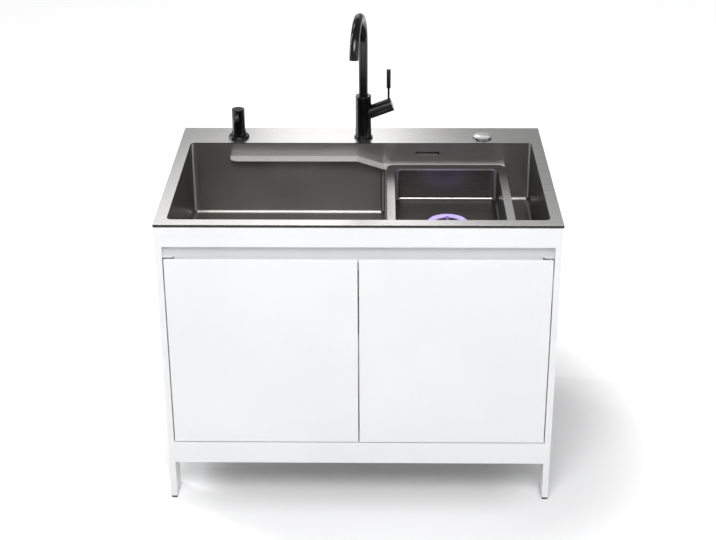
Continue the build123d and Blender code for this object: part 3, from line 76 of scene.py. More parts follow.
class Mat:
    """A node material with short calls for the usual nodes."""

    def __init__(self, name):
        self.mat = bpy.data.materials.new(name)
        self.mat.use_nodes = True
        self.tree = self.mat.node_tree
        self.tree.nodes.clear()
        self.out = self.node("ShaderNodeOutputMaterial")
        self.bsdf = self.node("ShaderNodeBsdfPrincipled")
        self.link(self.bsdf.outputs[0], self.out.inputs[0])
        self.coord = self.node("ShaderNodeTexCoord").outputs["Object"]

    def node(self, kind):
        return self.tree.nodes.new(kind)

    def link(self, source, target):
        self.tree.links.new(source, target)

    def feed(self, socket, value):
        """Give a socket a number, a colour or the output of another node."""
        if isinstance(value, (int, float)):
            socket.default_value = value
        elif isinstance(value, (tuple, list)):
            socket.default_value = (*value, 1.0)
        else:
            self.link(value, socket)

    def set(self, **values):
        """Constants of the shader's own sockets, with _ for a space in the socket's name."""
        for key, value in values.items():
            self.bsdf.inputs[key.replace("_", " ")].default_value = value

    def stretched(self, scale):
        mapping = self.node("ShaderNodeMapping")
        mapping.inputs["Scale"].default_value = scale
        self.link(self.coord, mapping.inputs["Vector"])
        return mapping.outputs[0]

    def noise(self, vector, scale=1.0, detail=3.0, rough=0.5, warp=0.0):
        noise = self.node("ShaderNodeTexNoise")
        noise.inputs["Scale"].default_value = scale
        noise.inputs["Detail"].default_value = detail
        noise.inputs["Roughness"].default_value = rough
        noise.inputs["Distortion"].default_value = warp
        self.link(vector, noise.inputs["Vector"])
        return noise.outputs["Fac"]

    def remap(self, value, to_low, to_high, from_low=0.3, from_high=0.7):
        ranged = self.node("ShaderNodeMapRange")
        ranged.interpolation_type = "SMOOTHSTEP"
        ranged.inputs["From Min"].default_value = from_low
        ranged.inputs["From Max"].default_value = from_high
        ranged.inputs["To Min"].default_value = to_low
        ranged.inputs["To Max"].default_value = to_high
        self.link(value, ranged.inputs["Value"])
        return ranged.outputs[0]

    def math(self, operation, a, b=0.0, c=0.0):
        maths = self.node("ShaderNodeMath")
        maths.operation = operation
        for i, value in enumerate((a, b, c)):
            self.feed(maths.inputs[i], value)
        return maths.outputs[0]

    def mix(self, share, a, b):
        """Colour mix."""
        mixed = self.node("ShaderNodeMix")
        mixed.data_type = "RGBA"
        for i, value in ((0, share), (6, a), (7, b)):
            self.feed(mixed.inputs[i], value)
        return mixed.outputs[2]

    def mix_value(self, share, a, b):
        mixed = self.node("ShaderNodeMix")
        mixed.data_type = "FLOAT"
        for i, value in ((0, share), (2, a), (3, b)):
            self.feed(mixed.inputs[i], value)
        return mixed.outputs[0]

    def colour(self, socket):
        self.link(socket, self.bsdf.inputs["Base Color"])

    def colour_so_far(self):
        return self.bsdf.inputs["Base Color"].links[0].from_socket

    def rough(self, socket):
        self.link(socket, self.bsdf.inputs["Roughness"])

    def bump(self, height, strength, depth):
        bump = self.node("ShaderNodeBump")
        bump.inputs["Strength"].default_value = strength
        bump.inputs["Distance"].default_value = depth
        self.link(height, bump.inputs["Height"])
        self.link(bump.outputs[0], self.bsdf.inputs["Normal"])

    def split(self, vector):
        """The X, Y and Z of a vector."""
        parts = self.node("ShaderNodeSeparateXYZ")
        self.link(vector, parts.inputs[0])
        return parts.outputs

    def along(self, axis):
        """How far the surface faces along an axis, without sign."""
        normal = self.node("ShaderNodeNewGeometry").outputs["Normal"]
        return self.math("ABSOLUTE", self.split(normal)["XYZ".index(axis)])

    def facing(self, axis):
        """1 where the surface faces along the given axis, 0 elsewhere."""
        return self.remap(self.along(axis), 0.0, 1.0, *FACING_RANGE)

    def rounds(self):
        """Masks for rounded inside corners: (between two walls, between wall and floor)."""
        x, y, z = (self.along(axis) for axis in "XYZ")
        walls = self.math("MULTIPLY", x, y)
        low = self.math("MULTIPLY", z, self.math("MAXIMUM", x, y))
        wall_mask = self.remap(walls, 0.0, 1.0, *WALL_ROUND_RANGE)
        low_mask = self.remap(low, 0.0, 1.0, *LOW_ROUND_RANGE)
        return wall_mask, low_mask


def shades(colour, factor):
    return tuple(min(1.0, v * factor) for v in colour)


# ------------------------------------------------------------------ kinds of surface
# Tone of the painted highlight on upright rounds, how much less metallic they are, and the scale
# of the brush lines.
UPRIGHT_ROUND_HIGHLIGHT = (0.52, 0.51, 0.50)
UPRIGHT_ROUND_DULL = -0.6
BRUSH_ALONG, BRUSH_ACROSS = 4.0, 2600

# Height over which an upper tone sets in, and where along Y the rear shade grows, in metres.
TONE_STEP = 0.0006
REAR_SHADE_FROM, REAR_SHADE_TO = -0.08, 0.17


def brushed(
    name,
    base,
    rough,
    spread=0.05,
    upright_shade=1.0,
    upper=None,
    rear_shade=0.0,
    cove_highlight=1.0,
    upright_round_highlight=UPRIGHT_ROUND_HIGHLIGHT,
    grip=0.0,
    upright_gloss=False,
):
    """Steel with fine brush lines along X (along Y on faces that look along X).

    spread is how far the tone drifts. edge is a factor for the tone of upright faces, which
    paints shade on them.
    upper = (height, colour) tones what lies above that height, a painted reflection, and
    rear_shade is a factor for that tone on level faces at the rear, a painted shade.
    blend is a factor for the rounds between wall and floor, a painted highlight. With it,
    weld is the tone of the upright rounds, a painted highlight.
    grip is the strength of the stretched gloss. It lies along X (along Y on faces that look
    along X), or with upright_gloss along Z on walls and along Y on level faces.
    """
    m = Mat(name)
    along_x = m.noise(m.stretched((BRUSH_ALONG, BRUSH_ACROSS, BRUSH_ACROSS)), 1.0, 3.0, 0.6)
    along_y = m.noise(m.stretched((BRUSH_ACROSS, BRUSH_ALONG, BRUSH_ACROSS)), 1.0, 3.0, 0.6)
    side = m.facing("X")
    line = m.mix_value(side, along_x, along_y)
    cloud = m.noise(m.coord, 7.0, 3.0, 0.5, 0.4)
    grain = m.math("MULTIPLY_ADD", cloud, 0.4, m.math("MULTIPLY", line, 0.6))
    drift = m.remap(grain, 0.0, 1.0, 0.35, 0.65)
    body = m.mix(drift, shades(base, 1 - spread), shades(base, 1 + spread))
    # Painted reflection: a tone above a height, with painted shade towards the rear.
    if upper:
        height, light = upper
        place = m.split(m.coord)
        over = m.remap(place[2], 0.0, 1.0, height - TONE_STEP, height)
        upper_tone = m.mix(drift, shades(light, 1 - spread), shades(light, 1 + spread))
        if rear_shade:
            toward_rear = m.remap(place[1], 0.0, 1.0, REAR_SHADE_FROM, REAR_SHADE_TO)
            toward_rear = m.math("MULTIPLY", m.facing("Z"), toward_rear)
            upper_tone = m.mix(toward_rear, upper_tone, shades(light, rear_shade))
        body = m.mix(over, body, upper_tone)
    # Painted shade on upright faces.
    if upright_shade != 1.0:
        upright = m.math("SUBTRACT", 1.0, m.facing("Z"))
        upright_shade_tone = m.mix(drift, shades(base, upright_shade * 0.95), shades(base, upright_shade * 1.05))
        body = m.mix(upright, body, upright_shade_tone)
    m.set(Metallic=1.0)
    # Painted highlights on the rounds between wall and floor and on the upright rounds.
    if cove_highlight != 1.0:
        walls, low = m.rounds()
        body = m.mix(low, body, m.mix(drift, shades(base, cove_highlight * 0.9), shades(base, cove_highlight)))
        body = m.mix(walls, body, upright_round_highlight)
        m.link(m.math("MULTIPLY_ADD", walls, UPRIGHT_ROUND_DULL, 1.0), m.bsdf.inputs["Metallic"])
    m.colour(body)
    m.rough(m.math("MULTIPLY_ADD", m.remap(line, -1.0, 1.0), 0.03, rough))
    m.bump(line, 0.025, 0.00005)
    if grip:
        lie = m.node("ShaderNodeCombineXYZ")
        if upright_gloss:
            flat = m.facing("Z")
            m.link(flat, lie.inputs[1])
            m.link(m.math("SUBTRACT", 1.0, flat), lie.inputs[2])
        else:
            m.link(m.math("SUBTRACT", 1.0, side), lie.inputs[0])
            m.link(side, lie.inputs[1])
        m.link(lie.outputs[0], m.bsdf.inputs["Tangent"])
        m.set(Anisotropic=grip)
    return m


def lacquer(name, base, rough, peel=0.03):
    """Satin paint: a faint orange peel, slow tone drift and small changes of gloss."""
    m = Mat(name)
    slow = m.noise(m.coord, 3.0, 2.0, 0.5, 0.3)
    middle = m.noise(m.coord, 40.0, 3.0, 0.55)
    m.colour(m.mix(m.remap(slow, 0.0, 1.0), shades(base, 0.975), shades(base, 1.012)))
    m.rough(m.math("MULTIPLY_ADD", m.remap(middle, -1.0, 1.0), 0.04, rough))
    m.bump(m.noise(m.coord, 520.0, 2.0, 0.5), peel, 0.0003)
    return m


def moulded(name, base, rough, grain=0.08, drift=0.06):
    """Moulded plastic or rubber: a fine even grain and slight tone drift."""
    m = Mat(name)
    slow = m.noise(m.coord, 14.0, 3.0, 0.5, 0.3)
    middle = m.noise(m.coord, 90.0, 3.0)
    m.colour(m.mix(m.remap(slow, 0.0, 1.0), shades(base, 1 - drift), shades(base, 1 + drift)))
    m.rough(m.math("MULTIPLY_ADD", m.remap(middle, -1.0, 1.0), 0.05, rough))
    m.bump(m.noise(m.coord, 1400.0, 2.0, 0.5), grain, 0.0002)
    return m


def polished(name, base, rough):
    """Plated or machined metal with faint turning marks and clouding."""
    m = Mat(name)
    mist = m.noise(m.coord, 60.0, 3.0, 0.5)
    line = m.noise(m.stretched((30, 30, 2600)), 1.0, 2.0)
    m.colour(m.mix(m.remap(mist, 0.0, 1.0), shades(base, 0.93), shades(base, 1.03)))
    m.rough(m.math("MULTIPLY_ADD", m.remap(mist, -1.0, 1.0), 0.025, rough))
    m.bump(line, 0.03, 0.0001)
    m.set(Metallic=1.0)
    return m


# ------------------------------------------------------------------ materials
white_board = lacquer("satin_white", (0.87, 0.875, 0.88), 0.36)
white_board.set(Coat_Weight=0.12, Coat_Roughness=0.25)
white_channel = lacquer("white_channel_coating", (0.74, 0.745, 0.75), 0.42)

# Sink top: pale on its face, with painted shade on the upright faces where it folds down.
deck_steel = brushed(
    "brushed_top_steel",
    (0.74, 0.735, 0.725),
    0.27,
    spread=0.02,
    upright_shade=0.05,
    grip=0.6,
)
# Bowl: a dark base tone as painted shade of its inside, with painted highlights on its rounds.
bowl_steel = brushed(
    "dark_bowl_steel",
    (0.175, 0.170, 0.162),
    0.38,
    cove_highlight=2.6,
    grip=0.75,
    upright_gloss=True,
)

# Ledges, in painted reflection: the low step is dark, and all that lies above it is pale.
LEDGE_PALE_FROM = 0.0012
low_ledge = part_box("bowl_divider")[1].z
ledge_steel = brushed(
    "ledge_steel",
    (0.30, 0.295, 0.29),
    0.36,
    spread=0.03,
    upper=(low_ledge + LEDGE_PALE_FROM, (0.88, 0.87, 0.855)),
)
ledge_steel.set(Metallic=0.6)

# Pan: painted shade darkens its inside; its flange and the top of its walls are pale, a painted
# reflection and highlight, and the flange darkens to the rear as painted shade.
RIM_HIGHLIGHT_DEPTH = 0.0045
pan_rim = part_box("drain_pan")[1].z
pan_steel = brushed(
    "pan_steel",
    (0.150, 0.146, 0.143),
    0.29,
    spread=0.015,
    upper=(pan_rim - RIM_HIGHLIGHT_DEPTH, (0.74, 0.73, 0.725)),
    rear_shade=0.2,
    cove_highlight=3.0,
    upright_round_highlight=(0.24, 0.235, 0.23),
)
# Overflow box: a darker steel tone, painted shade inside the slot.
overflow_steel = brushed("overflow_inside", (0.30, 0.295, 0.29), 0.4)
drain_steel = brushed("drain_steel", (0.52, 0.52, 0.53), 0.26)
zinc = polished("zinc_plate", (0.62, 0.63, 0.65), 0.32)
brass = polished("machined_brass", (0.72, 0.55, 0.26), 0.28)

# Chrome of the knob and the aerator, in painted reflection: bright on level faces, painted shade
# on upright ones.
chrome = polished("bright_chrome", (0.96, 0.96, 0.955), 0.22)
chrome.colour(chrome.mix(chrome.facing("Z"), (0.16, 0.16, 0.165), chrome.colour_so_far()))
chrome.set(Metallic=0.7)

rubber = moulded("dark_rubber", (0.045, 0.045, 0.048), 0.7, grain=0.2)
clear_rubber = moulded("clear_rubber", (0.74, 0.74, 0.72), 0.35)
clear_rubber.set(Transmission_Weight=0.35)
white_plastic = moulded("white_plastic", (0.84, 0.84, 0.83), 0.42)
black_plastic = moulded("black_plastic", (0.035, 0.035, 0.037), 0.45)
grate = moulded("violet_grate", (0.30, 0.20, 0.55), 0.4)

# Satin black coat of mixer and soap pump: nearly black, with a fine powder grain.
black_coat = Mat("satin_black_coat")
drift = black_coat.remap(black_coat.noise(black_coat.coord, 22.0, 3.0, 0.5, 0.2), 0.0, 1.0)
black_coat.colour(black_coat.mix(drift, (0.002, 0.002, 0.0023), (0.004, 0.004, 0.0045)))
sheen = black_coat.remap(black_coat.noise(black_coat.coord, 160.0), -1.0, 1.0)
black_coat.rough(black_coat.math("MULTIPLY_ADD", sheen, 0.02, 0.2))
black_coat.bump(black_coat.noise(black_coat.coord, 2600.0, 2.0), 0.02, 0.00005)
black_coat.set(Specular_IOR_Level=0.5)

# Lit ring: a pale violet diffuser with faint lamp spots.
ring_glow = Mat("violet_glow")
spots = ring_glow.remap(ring_glow.noise(ring_glow.coord, 240.0, 2.0), 0.0, 1.0)
tint = ring_glow.mix(spots, (0.44, 0.33, 0.72), (0.60, 0.50, 0.88))
ring_glow.colour(tint)
ring_glow.link(tint, ring_glow.bsdf.inputs["Emission Color"])
ring_glow.set(Roughness=0.35, Emission_Strength=0.6)

# Each CAD node wears the material of its slot in the record, or a finish of its own.
SLOTS = {
    "white_board": white_board,
    "white_channel": white_channel,
    "dark_rubber": rubber,
    "clear_rubber": clear_rubber,
    "zinc_steel": zinc,
    "brushed_top": deck_steel,
    "dark_bowl_steel": bowl_steel,
    "drain_steel": drain_steel,
    "black_plastic": black_plastic,
    "violet_glow": ring_glow,
    "dark_grate": grate,
    "white_plastic": white_plastic,
    "satin_black": black_coat,
    "brass": brass,
    "bright_chrome": chrome,
}
NODE_FINISH = {
    "overflow_box": overflow_steel,
    "drain_pan": pan_steel,
    "rear_ledge": ledge_steel,
    "front_ledge": ledge_steel,
}
slot_of = {part["node"]: part["material_slot"] for part in frame["record"]["subparts"]}
for name, obj in nodes.items():
    obj.data.materials.clear()
    obj.data.materials.append(NODE_FINISH.get(name, SLOTS[slot_of[name]]).mat)


# ------------------------------------------------------------------ mesh tools
# Heights closer than this, in metres, count as the same.
SAME = 1e-6


def finish_mesh(bm, name, body, mat, smooth=35.0, replaces=()):
    """Turn a bmesh into a shaded piece that rides a body of the part."""
    mesh = bpy.data.meshes.new(name)
    bm.to_mesh(mesh)
    bm.free()
    obj = bpy.data.objects.new(name, mesh)
    scene.collection.objects.link(obj)
    mesh.materials.append(mat.mat)
    mesh.shade_smooth()
    mesh.set_sharp_from_angle(angle=math.radians(smooth))
    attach(obj, body)
    if replaces:
        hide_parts(*replaces)
    return obj


def rounded_box(lo, hi, wall_round=0.0, low_round=0.0, steps=5):
    """Box with rounded upright edges and rounded lower edges."""
    bm = bmesh.new()
    bmesh.ops.create_cube(bm, size=1.0)
    for v in bm.verts:
        v.co = Vector([lo[i] if v.co[i] < 0 else hi[i] for i in range(3)])
    if wall_round:
        upright = [e for e in bm.edges if abs(e.verts[0].co.z - e.verts[1].co.z) > SAME]
        round_edges(bm, upright, wall_round, steps)
    if low_round:
        lower = [e for e in bm.edges if all(abs(v.co.z - lo[2]) < SAME for v in e.verts)]
        round_edges(bm, lower, low_round, steps)
    return bm


def round_edges(bm, edges, radius, steps):
    bmesh.ops.bevel(bm, geom=edges, offset=radius, segments=steps, profile=0.5, affect="EDGES")


def disc(x, y, z_low, z_high, radius, steps=64):
    bm = bmesh.new()
    height = z_high - z_low
    bmesh.ops.create_cone(
        bm, cap_ends=True, segments=steps, radius1=radius, radius2=radius, depth=height
    )
    bmesh.ops.translate(bm, verts=bm.verts, vec=(x, y, (z_low + z_high) / 2))
    return bm


def stadium(x, y, z, length, height, depth, steps=12):
    """Closed prism along Y with a long rounded outline, for the overflow slot."""
    bm = bmesh.new()
    r = height / 2
    outline = []
    for side in (1, -1):
        for i in range(steps + 1):
            a = math.pi * i / steps - math.pi / 2
            across = side * ((length / 2 - r) + r * math.cos(a))
            outline.append((x + across, z + side * r * math.sin(a)))
    front = [bm.verts.new((px, y - depth / 2, pz)) for px, pz in outline]
    back = [bm.verts.new((px, y + depth / 2, pz)) for px, pz in outline]
    bm.faces.new(front)
    bm.faces.new(list(reversed(back)))
    for i in range(len(outline)):
        j = (i + 1) % len(outline)
        bm.faces.new((front[j], front[i], back[i], back[j]))
    bmesh.ops.recalc_face_normals(bm, faces=bm.faces)
    return bm


def scratch(bm, name):
    """Working object that is removed again once the shapes are combined."""
    mesh = bpy.data.meshes.new(name)
    bm.to_mesh(mesh)
    bm.free()
    obj = bpy.data.objects.new(name, mesh)
    scene.collection.objects.link(obj)
    return obj


def combine(first, others):
    """Union or difference of closed meshes, applied at once. others: (operation, bmesh)."""
    base = scratch(first, "work_base")
    tools = []
    for i, (operation, bm) in enumerate(others):
        tool = scratch(bm, f"work_tool_{i}")
        step = base.modifiers.new(f"step_{i}", "BOOLEAN")
        step.operation = operation
        step.object = tool
        step.solver = "EXACT"
        tools.append(tool)
    view = bpy.context.evaluated_depsgraph_get()
    bm = bmesh.new()
    bm.from_mesh(base.evaluated_get(view).to_mesh())
    for obj in [base, *tools]:
        mesh = obj.data
        bpy.data.objects.remove(obj)
        bpy.data.meshes.remove(mesh)
    return bm


def turned(name, x, y, profile, body, mat, replaces=(), steps=96):
    """Solid of revolution about a vertical axis from (radius, height) points."""
    bm = bmesh.new()
    rings = []
    for radius, z in profile:
        if radius == 0:
            rings.append([bm.verts.new((x, y, z))])
            continue
        turns = [2 * math.pi * i / steps for i in range(steps)]
        rings.append(
            [bm.verts.new((x + radius * math.cos(a), y + radius * math.sin(a), z)) for a in turns]
        )
    for low, high in zip(rings, rings[1:]):
        for i in range(steps):
            j = (i + 1) % steps
            if len(low) == 1:
                bm.faces.new((low[0], high[i], high[j]))
            elif len(high) == 1:
                bm.faces.new((low[i], low[j], high[0]))
            else:
                bm.faces.new((low[i], low[j], high[j], high[i]))
    bmesh.ops.recalc_face_normals(bm, faces=bm.faces)
    return finish_mesh(bm, name, body, mat, smooth=40.0, replaces=replaces)


def edge_round(node, width, steps=2, angle=40.0):
    """Small rounding on the sharp edges of a CAD node."""
    bevel = nodes[node].modifiers.new("edge_round", "BEVEL")
    bevel.width = width
    bevel.segments = steps
    bevel.limit_method = "ANGLE"
    bevel.angle_limit = math.radians(angle)
    bevel.harden_normals = True


def middle(node):
    """Middle of a node seen from above."""
    lo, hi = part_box(node)
    return (lo.x + hi.x) / 2, (lo.y + hi.y) / 2


# ------------------------------------------------------------------ bowl
# One pressed shell in place of seven CAD pieces, with rounds between walls and floors.
CORNER, COVE = 0.013, 0.011

# Radius of the drain holes, and how far each cutting shape reaches past what it cuts.
LEFT_DRAIN_HOLE, RIGHT_DRAIN_HOLE = 0.0435, 0.0385
HOLE_BELOW, HOLE_ABOVE = 0.02, 0.01
OPEN_TOP, WIDE_OPEN_TOP = 0.01, 0.02
SLOT_LENGTH, SLOT_HEIGHT, SLOT_REACH = 0.067, 0.012, 0.02

rear_lo, rear_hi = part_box("bowl_rear_wall")
divider_lo, divider_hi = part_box("bowl_divider")
sheet = rear_hi.y - rear_lo.y
x_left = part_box("bowl_left_wall")[0].x + sheet
x_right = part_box("bowl_right_wall")[1].x - sheet
y_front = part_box("bowl_front_wall")[1].y
y_rear = rear_lo.y
rim_z = rear_hi.z
ledge_z = divider_hi.z
left_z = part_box("left_bowl_floor")[1].z
right_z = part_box("right_bowl_floor")[1].z
left_drain_x, drain_y = middle("left_drain_body")
right_drain_x = middle("right_drain_body")[0]
openings = frame["record"]["physics"]["openings"]
slot_lo, slot_hi = next(o["box_m"] for o in openings if o["name"] == "overflow_slot")
slot_x = (slot_lo[0] + slot_hi[0]) / 2
slot_z = (slot_lo[2] + slot_hi[2]) / 2


def basin(x_from, x_to, z_from, z_to, skin, cove=COVE):
    """Rounded block between the front and rear walls, grown by the skin on sides and floor."""
    return rounded_box(
        (x_from - skin, y_front - skin, z_from - skin),
        (x_to + skin, y_rear + skin, z_to),
        CORNER + skin,
        cove + skin if cove else 0.0,
    )


def drain_hole(x, floor_z, radius):
    return disc(x, drain_y, floor_z - HOLE_BELOW, floor_z + HOLE_ABOVE, radius)


bowl = combine(
    basin(x_left, divider_lo.x, left_z, ledge_z, sheet),
    [
        ("UNION", basin(divider_hi.x, x_right, right_z, ledge_z, sheet)),
        ("UNION", basin(x_left, x_right, ledge_z, rim_z, sheet, cove=0.0)),
        ("DIFFERENCE", basin(x_left, divider_lo.x, left_z, rim_z + OPEN_TOP, 0.0)),
        ("DIFFERENCE", basin(divider_hi.x, x_right, right_z, rim_z + OPEN_TOP, 0.0)),
        ("DIFFERENCE", basin(x_left, x_right, ledge_z, rim_z + WIDE_OPEN_TOP, 0.0, cove=0.0)),
        ("DIFFERENCE", drain_hole(left_drain_x, left_z, LEFT_DRAIN_HOLE)),
        ("DIFFERENCE", drain_hole(right_drain_x, right_z, RIGHT_DRAIN_HOLE)),
        ("DIFFERENCE", stadium(slot_x, y_rear, slot_z, SLOT_LENGTH, SLOT_HEIGHT, SLOT_REACH)),
    ],
)
bowl_pieces = (
    "bowl_left_wall",
    "bowl_right_wall",
    "bowl_front_wall",
    "bowl_rear_wall",
    "left_bowl_floor",
    "right_bowl_floor",
    "bowl_divider",
)
bowl_shell = finish_mesh(
    bowl,
    "bowl_shell",
    "unit",
    bowl_steel,
    smooth=25.0,
    replaces=bowl_pieces,
)
flat_first = bowl_shell.modifiers.new("flat_faces_stay_flat", "WEIGHTED_NORMAL")
flat_first.keep_sharp = True
flat_first.weight = 90

# ------------------------------------------------------------------ knob
# Domed top of the drain knob, in place of the flat CAD disc.
DOME_RISE, DOME_STEPS = 0.0042, 10
knob_lo, knob_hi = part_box("knob_disc")
knob_x, knob_y = middle("knob_disc")
knob_radius = (knob_hi.x - knob_lo.x) / 2
dome_foot = knob_hi.z - DOME_RISE
dome = [(0, knob_lo.z), (knob_radius, knob_lo.z)]
for i in range(DOME_STEPS):
    a = math.pi / 2 * i / DOME_STEPS
    dome.append((knob_radius * math.cos(a), dome_foot + DOME_RISE * math.sin(a)))
dome.append((0, knob_hi.z))
turned(
    "knob_dome",
    knob_x,
    knob_y,
    dome,
    "drain_knob",
    chrome,
    replaces=("knob_disc",),
)

# ------------------------------------------------------------------ cabinet
# Thin strips, not in the CAD, that close the sight gap over the doors at the recess's ends.
STRIP_PLAY, STRIP_RISE, STRIP_WIDE = 0.0005, 0.0021, 0.024
channel_lo, channel_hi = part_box("finger_channel")
door_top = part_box("left_door")[1].z
for side, x_from in (("left", channel_lo.x), ("right", channel_hi.x - STRIP_WIDE)):
    strip = rounded_box(
        (x_from, channel_lo.y, door_top + STRIP_PLAY),
        (x_from + STRIP_WIDE, channel_hi.y, door_top + STRIP_RISE),
    )
    finish_mesh(strip, f"recess_end_strip_{side}", "unit", white_channel)

# Small rounding on the edges of boards and sink top.
BOARD_ROUND, DECK_ROUND = 0.0007, 0.0009
for panel in ("left_side_panel", "right_side_panel", "top_front_rail", "bottom_front_rail"):
    edge_round(panel, BOARD_ROUND)
edge_round("sink_deck", DECK_ROUND, steps=3)

# ------------------------------------------------------------------ floor
# Own light of the floor: its strength near the unit and far from it, the distances from its
# middle between which it grows, and that middle.
NEAR_LIFT, FAR_LIFT = 0.06, 0.62
LIFT_FROM, LIFT_TO = 0.48, 0.95
LIFT_MIDDLE = (0.12, -0.05, 0.0)
# Painted shadow beneath the cabinet: its tone and the width of its soft border.
UNDER_SHADOW_TONE, UNDER_SHADOW_EDGE = 0.62, 0.09
FLOOR_REACH = 40

floor_mat = Mat("studio_floor")
mottle = floor_mat.noise(floor_mat.coord, 0.8)
pale = floor_mat.mix(mottle, (0.89, 0.89, 0.90), (0.90, 0.90, 0.91))

# Painted shadow: a darker tone beneath the cabinet.
place = floor_mat.split(floor_mat.coord)
beside = floor_mat.math("ABSOLUTE", place[0])
before = floor_mat.math("ABSOLUTE", place[1])
half_x, half_y = cad_box[1].x, cad_box[1].y
inside_x = floor_mat.remap(beside, 1.0, 0.0, half_x - 2 * UNDER_SHADOW_EDGE, half_x)
inside_y = floor_mat.remap(before, 1.0, 0.0, half_y - UNDER_SHADOW_EDGE, half_y + UNDER_SHADOW_EDGE)
under_shadow = floor_mat.math("MULTIPLY", inside_x, inside_y)
floor_mat.colour(floor_mat.mix(under_shadow, pale, (UNDER_SHADOW_TONE, UNDER_SHADOW_TONE, UNDER_SHADOW_TONE)))
floor_mat.set(Roughness=0.9, Specular_IOR_Level=0.0)

# That own light shows to the camera and in what mirrors or passes light, not to diffuse rays.
path = floor_mat.node("ShaderNodeLightPath").outputs
seen = floor_mat.math("MAXIMUM", path["Is Camera Ray"], path["Is Glossy Ray"])
seen = floor_mat.math("MAXIMUM", seen, path["Is Transmission Ray"])
away = floor_mat.node("ShaderNodeVectorMath")
away.operation = "DISTANCE"
away.inputs[1].default_value = LIFT_MIDDLE
floor_mat.link(floor_mat.coord, away.inputs[0])
far = floor_mat.remap(away.outputs["Value"], NEAR_LIFT, FAR_LIFT, LIFT_FROM, LIFT_TO)
lift = floor_mat.node("ShaderNodeEmission")
floor_mat.link(floor_mat.math("MULTIPLY", seen, far), lift.inputs["Strength"])
both = floor_mat.node("ShaderNodeAddShader")
floor_mat.link(floor_mat.bsdf.outputs[0], both.inputs[0])
floor_mat.link(lift.outputs[0], both.inputs[1])
floor_mat.link(both.outputs[0], floor_mat.out.inputs[0])

floor_corners = [
    (-FLOOR_REACH, -FLOOR_REACH, 0),
    (FLOOR_REACH, -FLOOR_REACH, 0),
    (FLOOR_REACH, FLOOR_REACH, 0),
    (-FLOOR_REACH, FLOOR_REACH, 0),
]
floor_mesh = bpy.data.meshes.new("floor")
floor_mesh.from_pydata(floor_corners, [], [(0, 1, 2, 3)])
floor_mesh.materials.append(floor_mat.mat)
floor = bpy.data.objects.new("floor", floor_mesh)
scene.collection.objects.link(floor)

# ------------------------------------------------------------------ world
# Plain studio: white to the camera; to the object pale at the horizon and greyer overhead.
FADE_FROM, FADE_TO = 0.04, 0.34
world = bpy.data.worlds.new("studio")
scene.world = world
world.use_nodes = True
world_tree = world.node_tree
world_tree.nodes.clear()
add_node = world_tree.nodes.new
add_link = world_tree.links.new

direction = add_node("ShaderNodeSeparateXYZ")
add_link(add_node("ShaderNodeTexCoord").outputs["Generated"], direction.inputs[0])
fade = add_node("ShaderNodeMapRange")
fade.interpolation_type = "SMOOTHSTEP"
fade.inputs["From Min"].default_value = FADE_FROM
fade.inputs["From Max"].default_value = FADE_TO
fade.inputs["To Min"].default_value = HORIZON
fade.inputs["To Max"].default_value = OVERHEAD
add_link(direction.outputs[2], fade.inputs["Value"])
strength = add_node("ShaderNodeMath")
strength.operation = "MAXIMUM"
add_link(add_node("ShaderNodeLightPath").outputs["Is Camera Ray"], strength.inputs[0])
add_link(fade.outputs[0], strength.inputs[1])
backdrop = add_node("ShaderNodeBackground")
add_link(strength.outputs[0], backdrop.inputs["Strength"])
add_link(backdrop.outputs[0], add_node("ShaderNodeOutputWorld").inputs[0])


# ------------------------------------------------------------------ lamps
def aim(obj, at):
    obj.rotation_mode = "QUATERNION"
    obj.rotation_quaternion = (Vector(at) - obj.location).to_track_quat("-Z", "Y")


def softbox(name, where, at, size, glow):
    """Area lamp of an even brightness (1 = white) rather than a stated power."""
    data = bpy.data.lights.new(name, "AREA")
    data.shape = "RECTANGLE"
    data.size, data.size_y = size
    data.energy = glow * math.pi * size[0] * size[1]
    obj = bpy.data.objects.new(name, data)
    obj.location = where
    scene.collection.objects.link(obj)
    aim(obj, at)


SUN_PLACE = (-2.2, 1.8, 2.88)
SUN_SPREAD = 14
sun = bpy.data.lights.new("key_sun", "SUN")
sun.energy = SUN
sun.angle = math.radians(SUN_SPREAD)
sun_obj = bpy.data.objects.new("key_sun", sun)
sun_obj.location = SUN_PLACE
scene.collection.objects.link(sun_obj)
aim(sun_obj, (0, 0, 0))

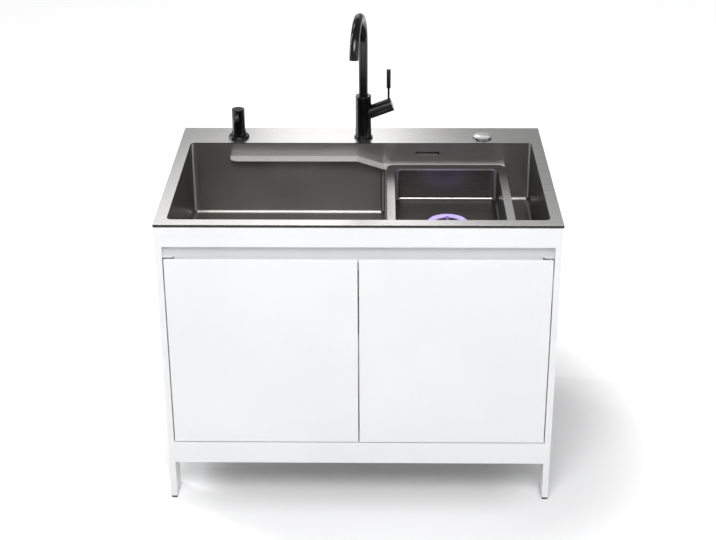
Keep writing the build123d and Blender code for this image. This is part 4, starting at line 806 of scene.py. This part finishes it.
# Behind the unit, for the sink top.
softbox("back_low", where=(-0.18, 3.2, 1.93), at=(-0.1, 0, 0.8), size=(0.75, 0.5), glow=BACK)
softbox("back_high", where=(-0.5, 3.2, 2.75), at=(-0.1, 0, 0.8), size=(1.9, 0.95), glow=BACK)
softbox("back_right", where=(1.25, 3.2, 2.95), at=(0.3, 0, 0.8), size=(1.5, 0.6), glow=0.72)

# High in front, and a small one near the bowl for its rear wall.
softbox("front_box", where=(0.1, -2.9, 3.7), at=(0, -0.2, 0.4), size=(3.2, 1.8), glow=FRONT)
softbox("wall_glow", where=(-0.13, -1.15, 2.15), at=(-0.12, 0.2, 0.68), size=(0.34, 0.3), glow=7.5)
softbox("front_band", where=(-0.42, -2.6, 3.0), at=(-0.3, 0.2, 0.7), size=(0.7, 1.2), glow=4.0)

# Narrow ones at both sides.
softbox("left_strip", where=(-2.4, 0.9, 1.7), at=(0, 0.2, 1.0), size=(0.2, 1.8), glow=20.0)
softbox("right_strip", where=(2.3, -0.8, 1.75), at=(0, 0.2, 1.0), size=(0.12, 1.6), glow=9.0)

# ------------------------------------------------------------------ camera
# Solved from the corners of the top, the bowl, the doors and the legs in the photograph.
CAM_PLACE = (0.05375, -3.48765, 2.28374)
YAW, PITCH, ROLL = -0.01681, 0.41999, -0.00482
FOCAL_PIXELS, PHOTO_WIDTH, SENSOR = 1441.84, 716, 36.0
LENS_SHIFT = -0.10
ahead = Vector(
    (math.sin(YAW) * math.cos(PITCH), math.cos(YAW) * math.cos(PITCH), -math.sin(PITCH))
)
level_right = Vector((math.cos(YAW), -math.sin(YAW), 0))
level_up = level_right.cross(ahead)
right = level_right * math.cos(ROLL) + level_up * math.sin(ROLL)
up = level_up * math.cos(ROLL) - level_right * math.sin(ROLL)
cam = bpy.data.cameras.new("camera")
cam.lens = FOCAL_PIXELS / PHOTO_WIDTH * SENSOR
cam.sensor_width = SENSOR
cam.shift_y = LENS_SHIFT
cam.clip_start, cam.clip_end = 0.05, 100
cam_obj = bpy.data.objects.new("camera", cam)
scene.collection.objects.link(cam_obj)
turn = Matrix((right, up, -ahead)).transposed().to_4x4()
cam_obj.matrix_world = Matrix.Translation(CAM_PLACE) @ turn
scene.camera = cam_obj
scene.view_settings.view_transform = "Standard"
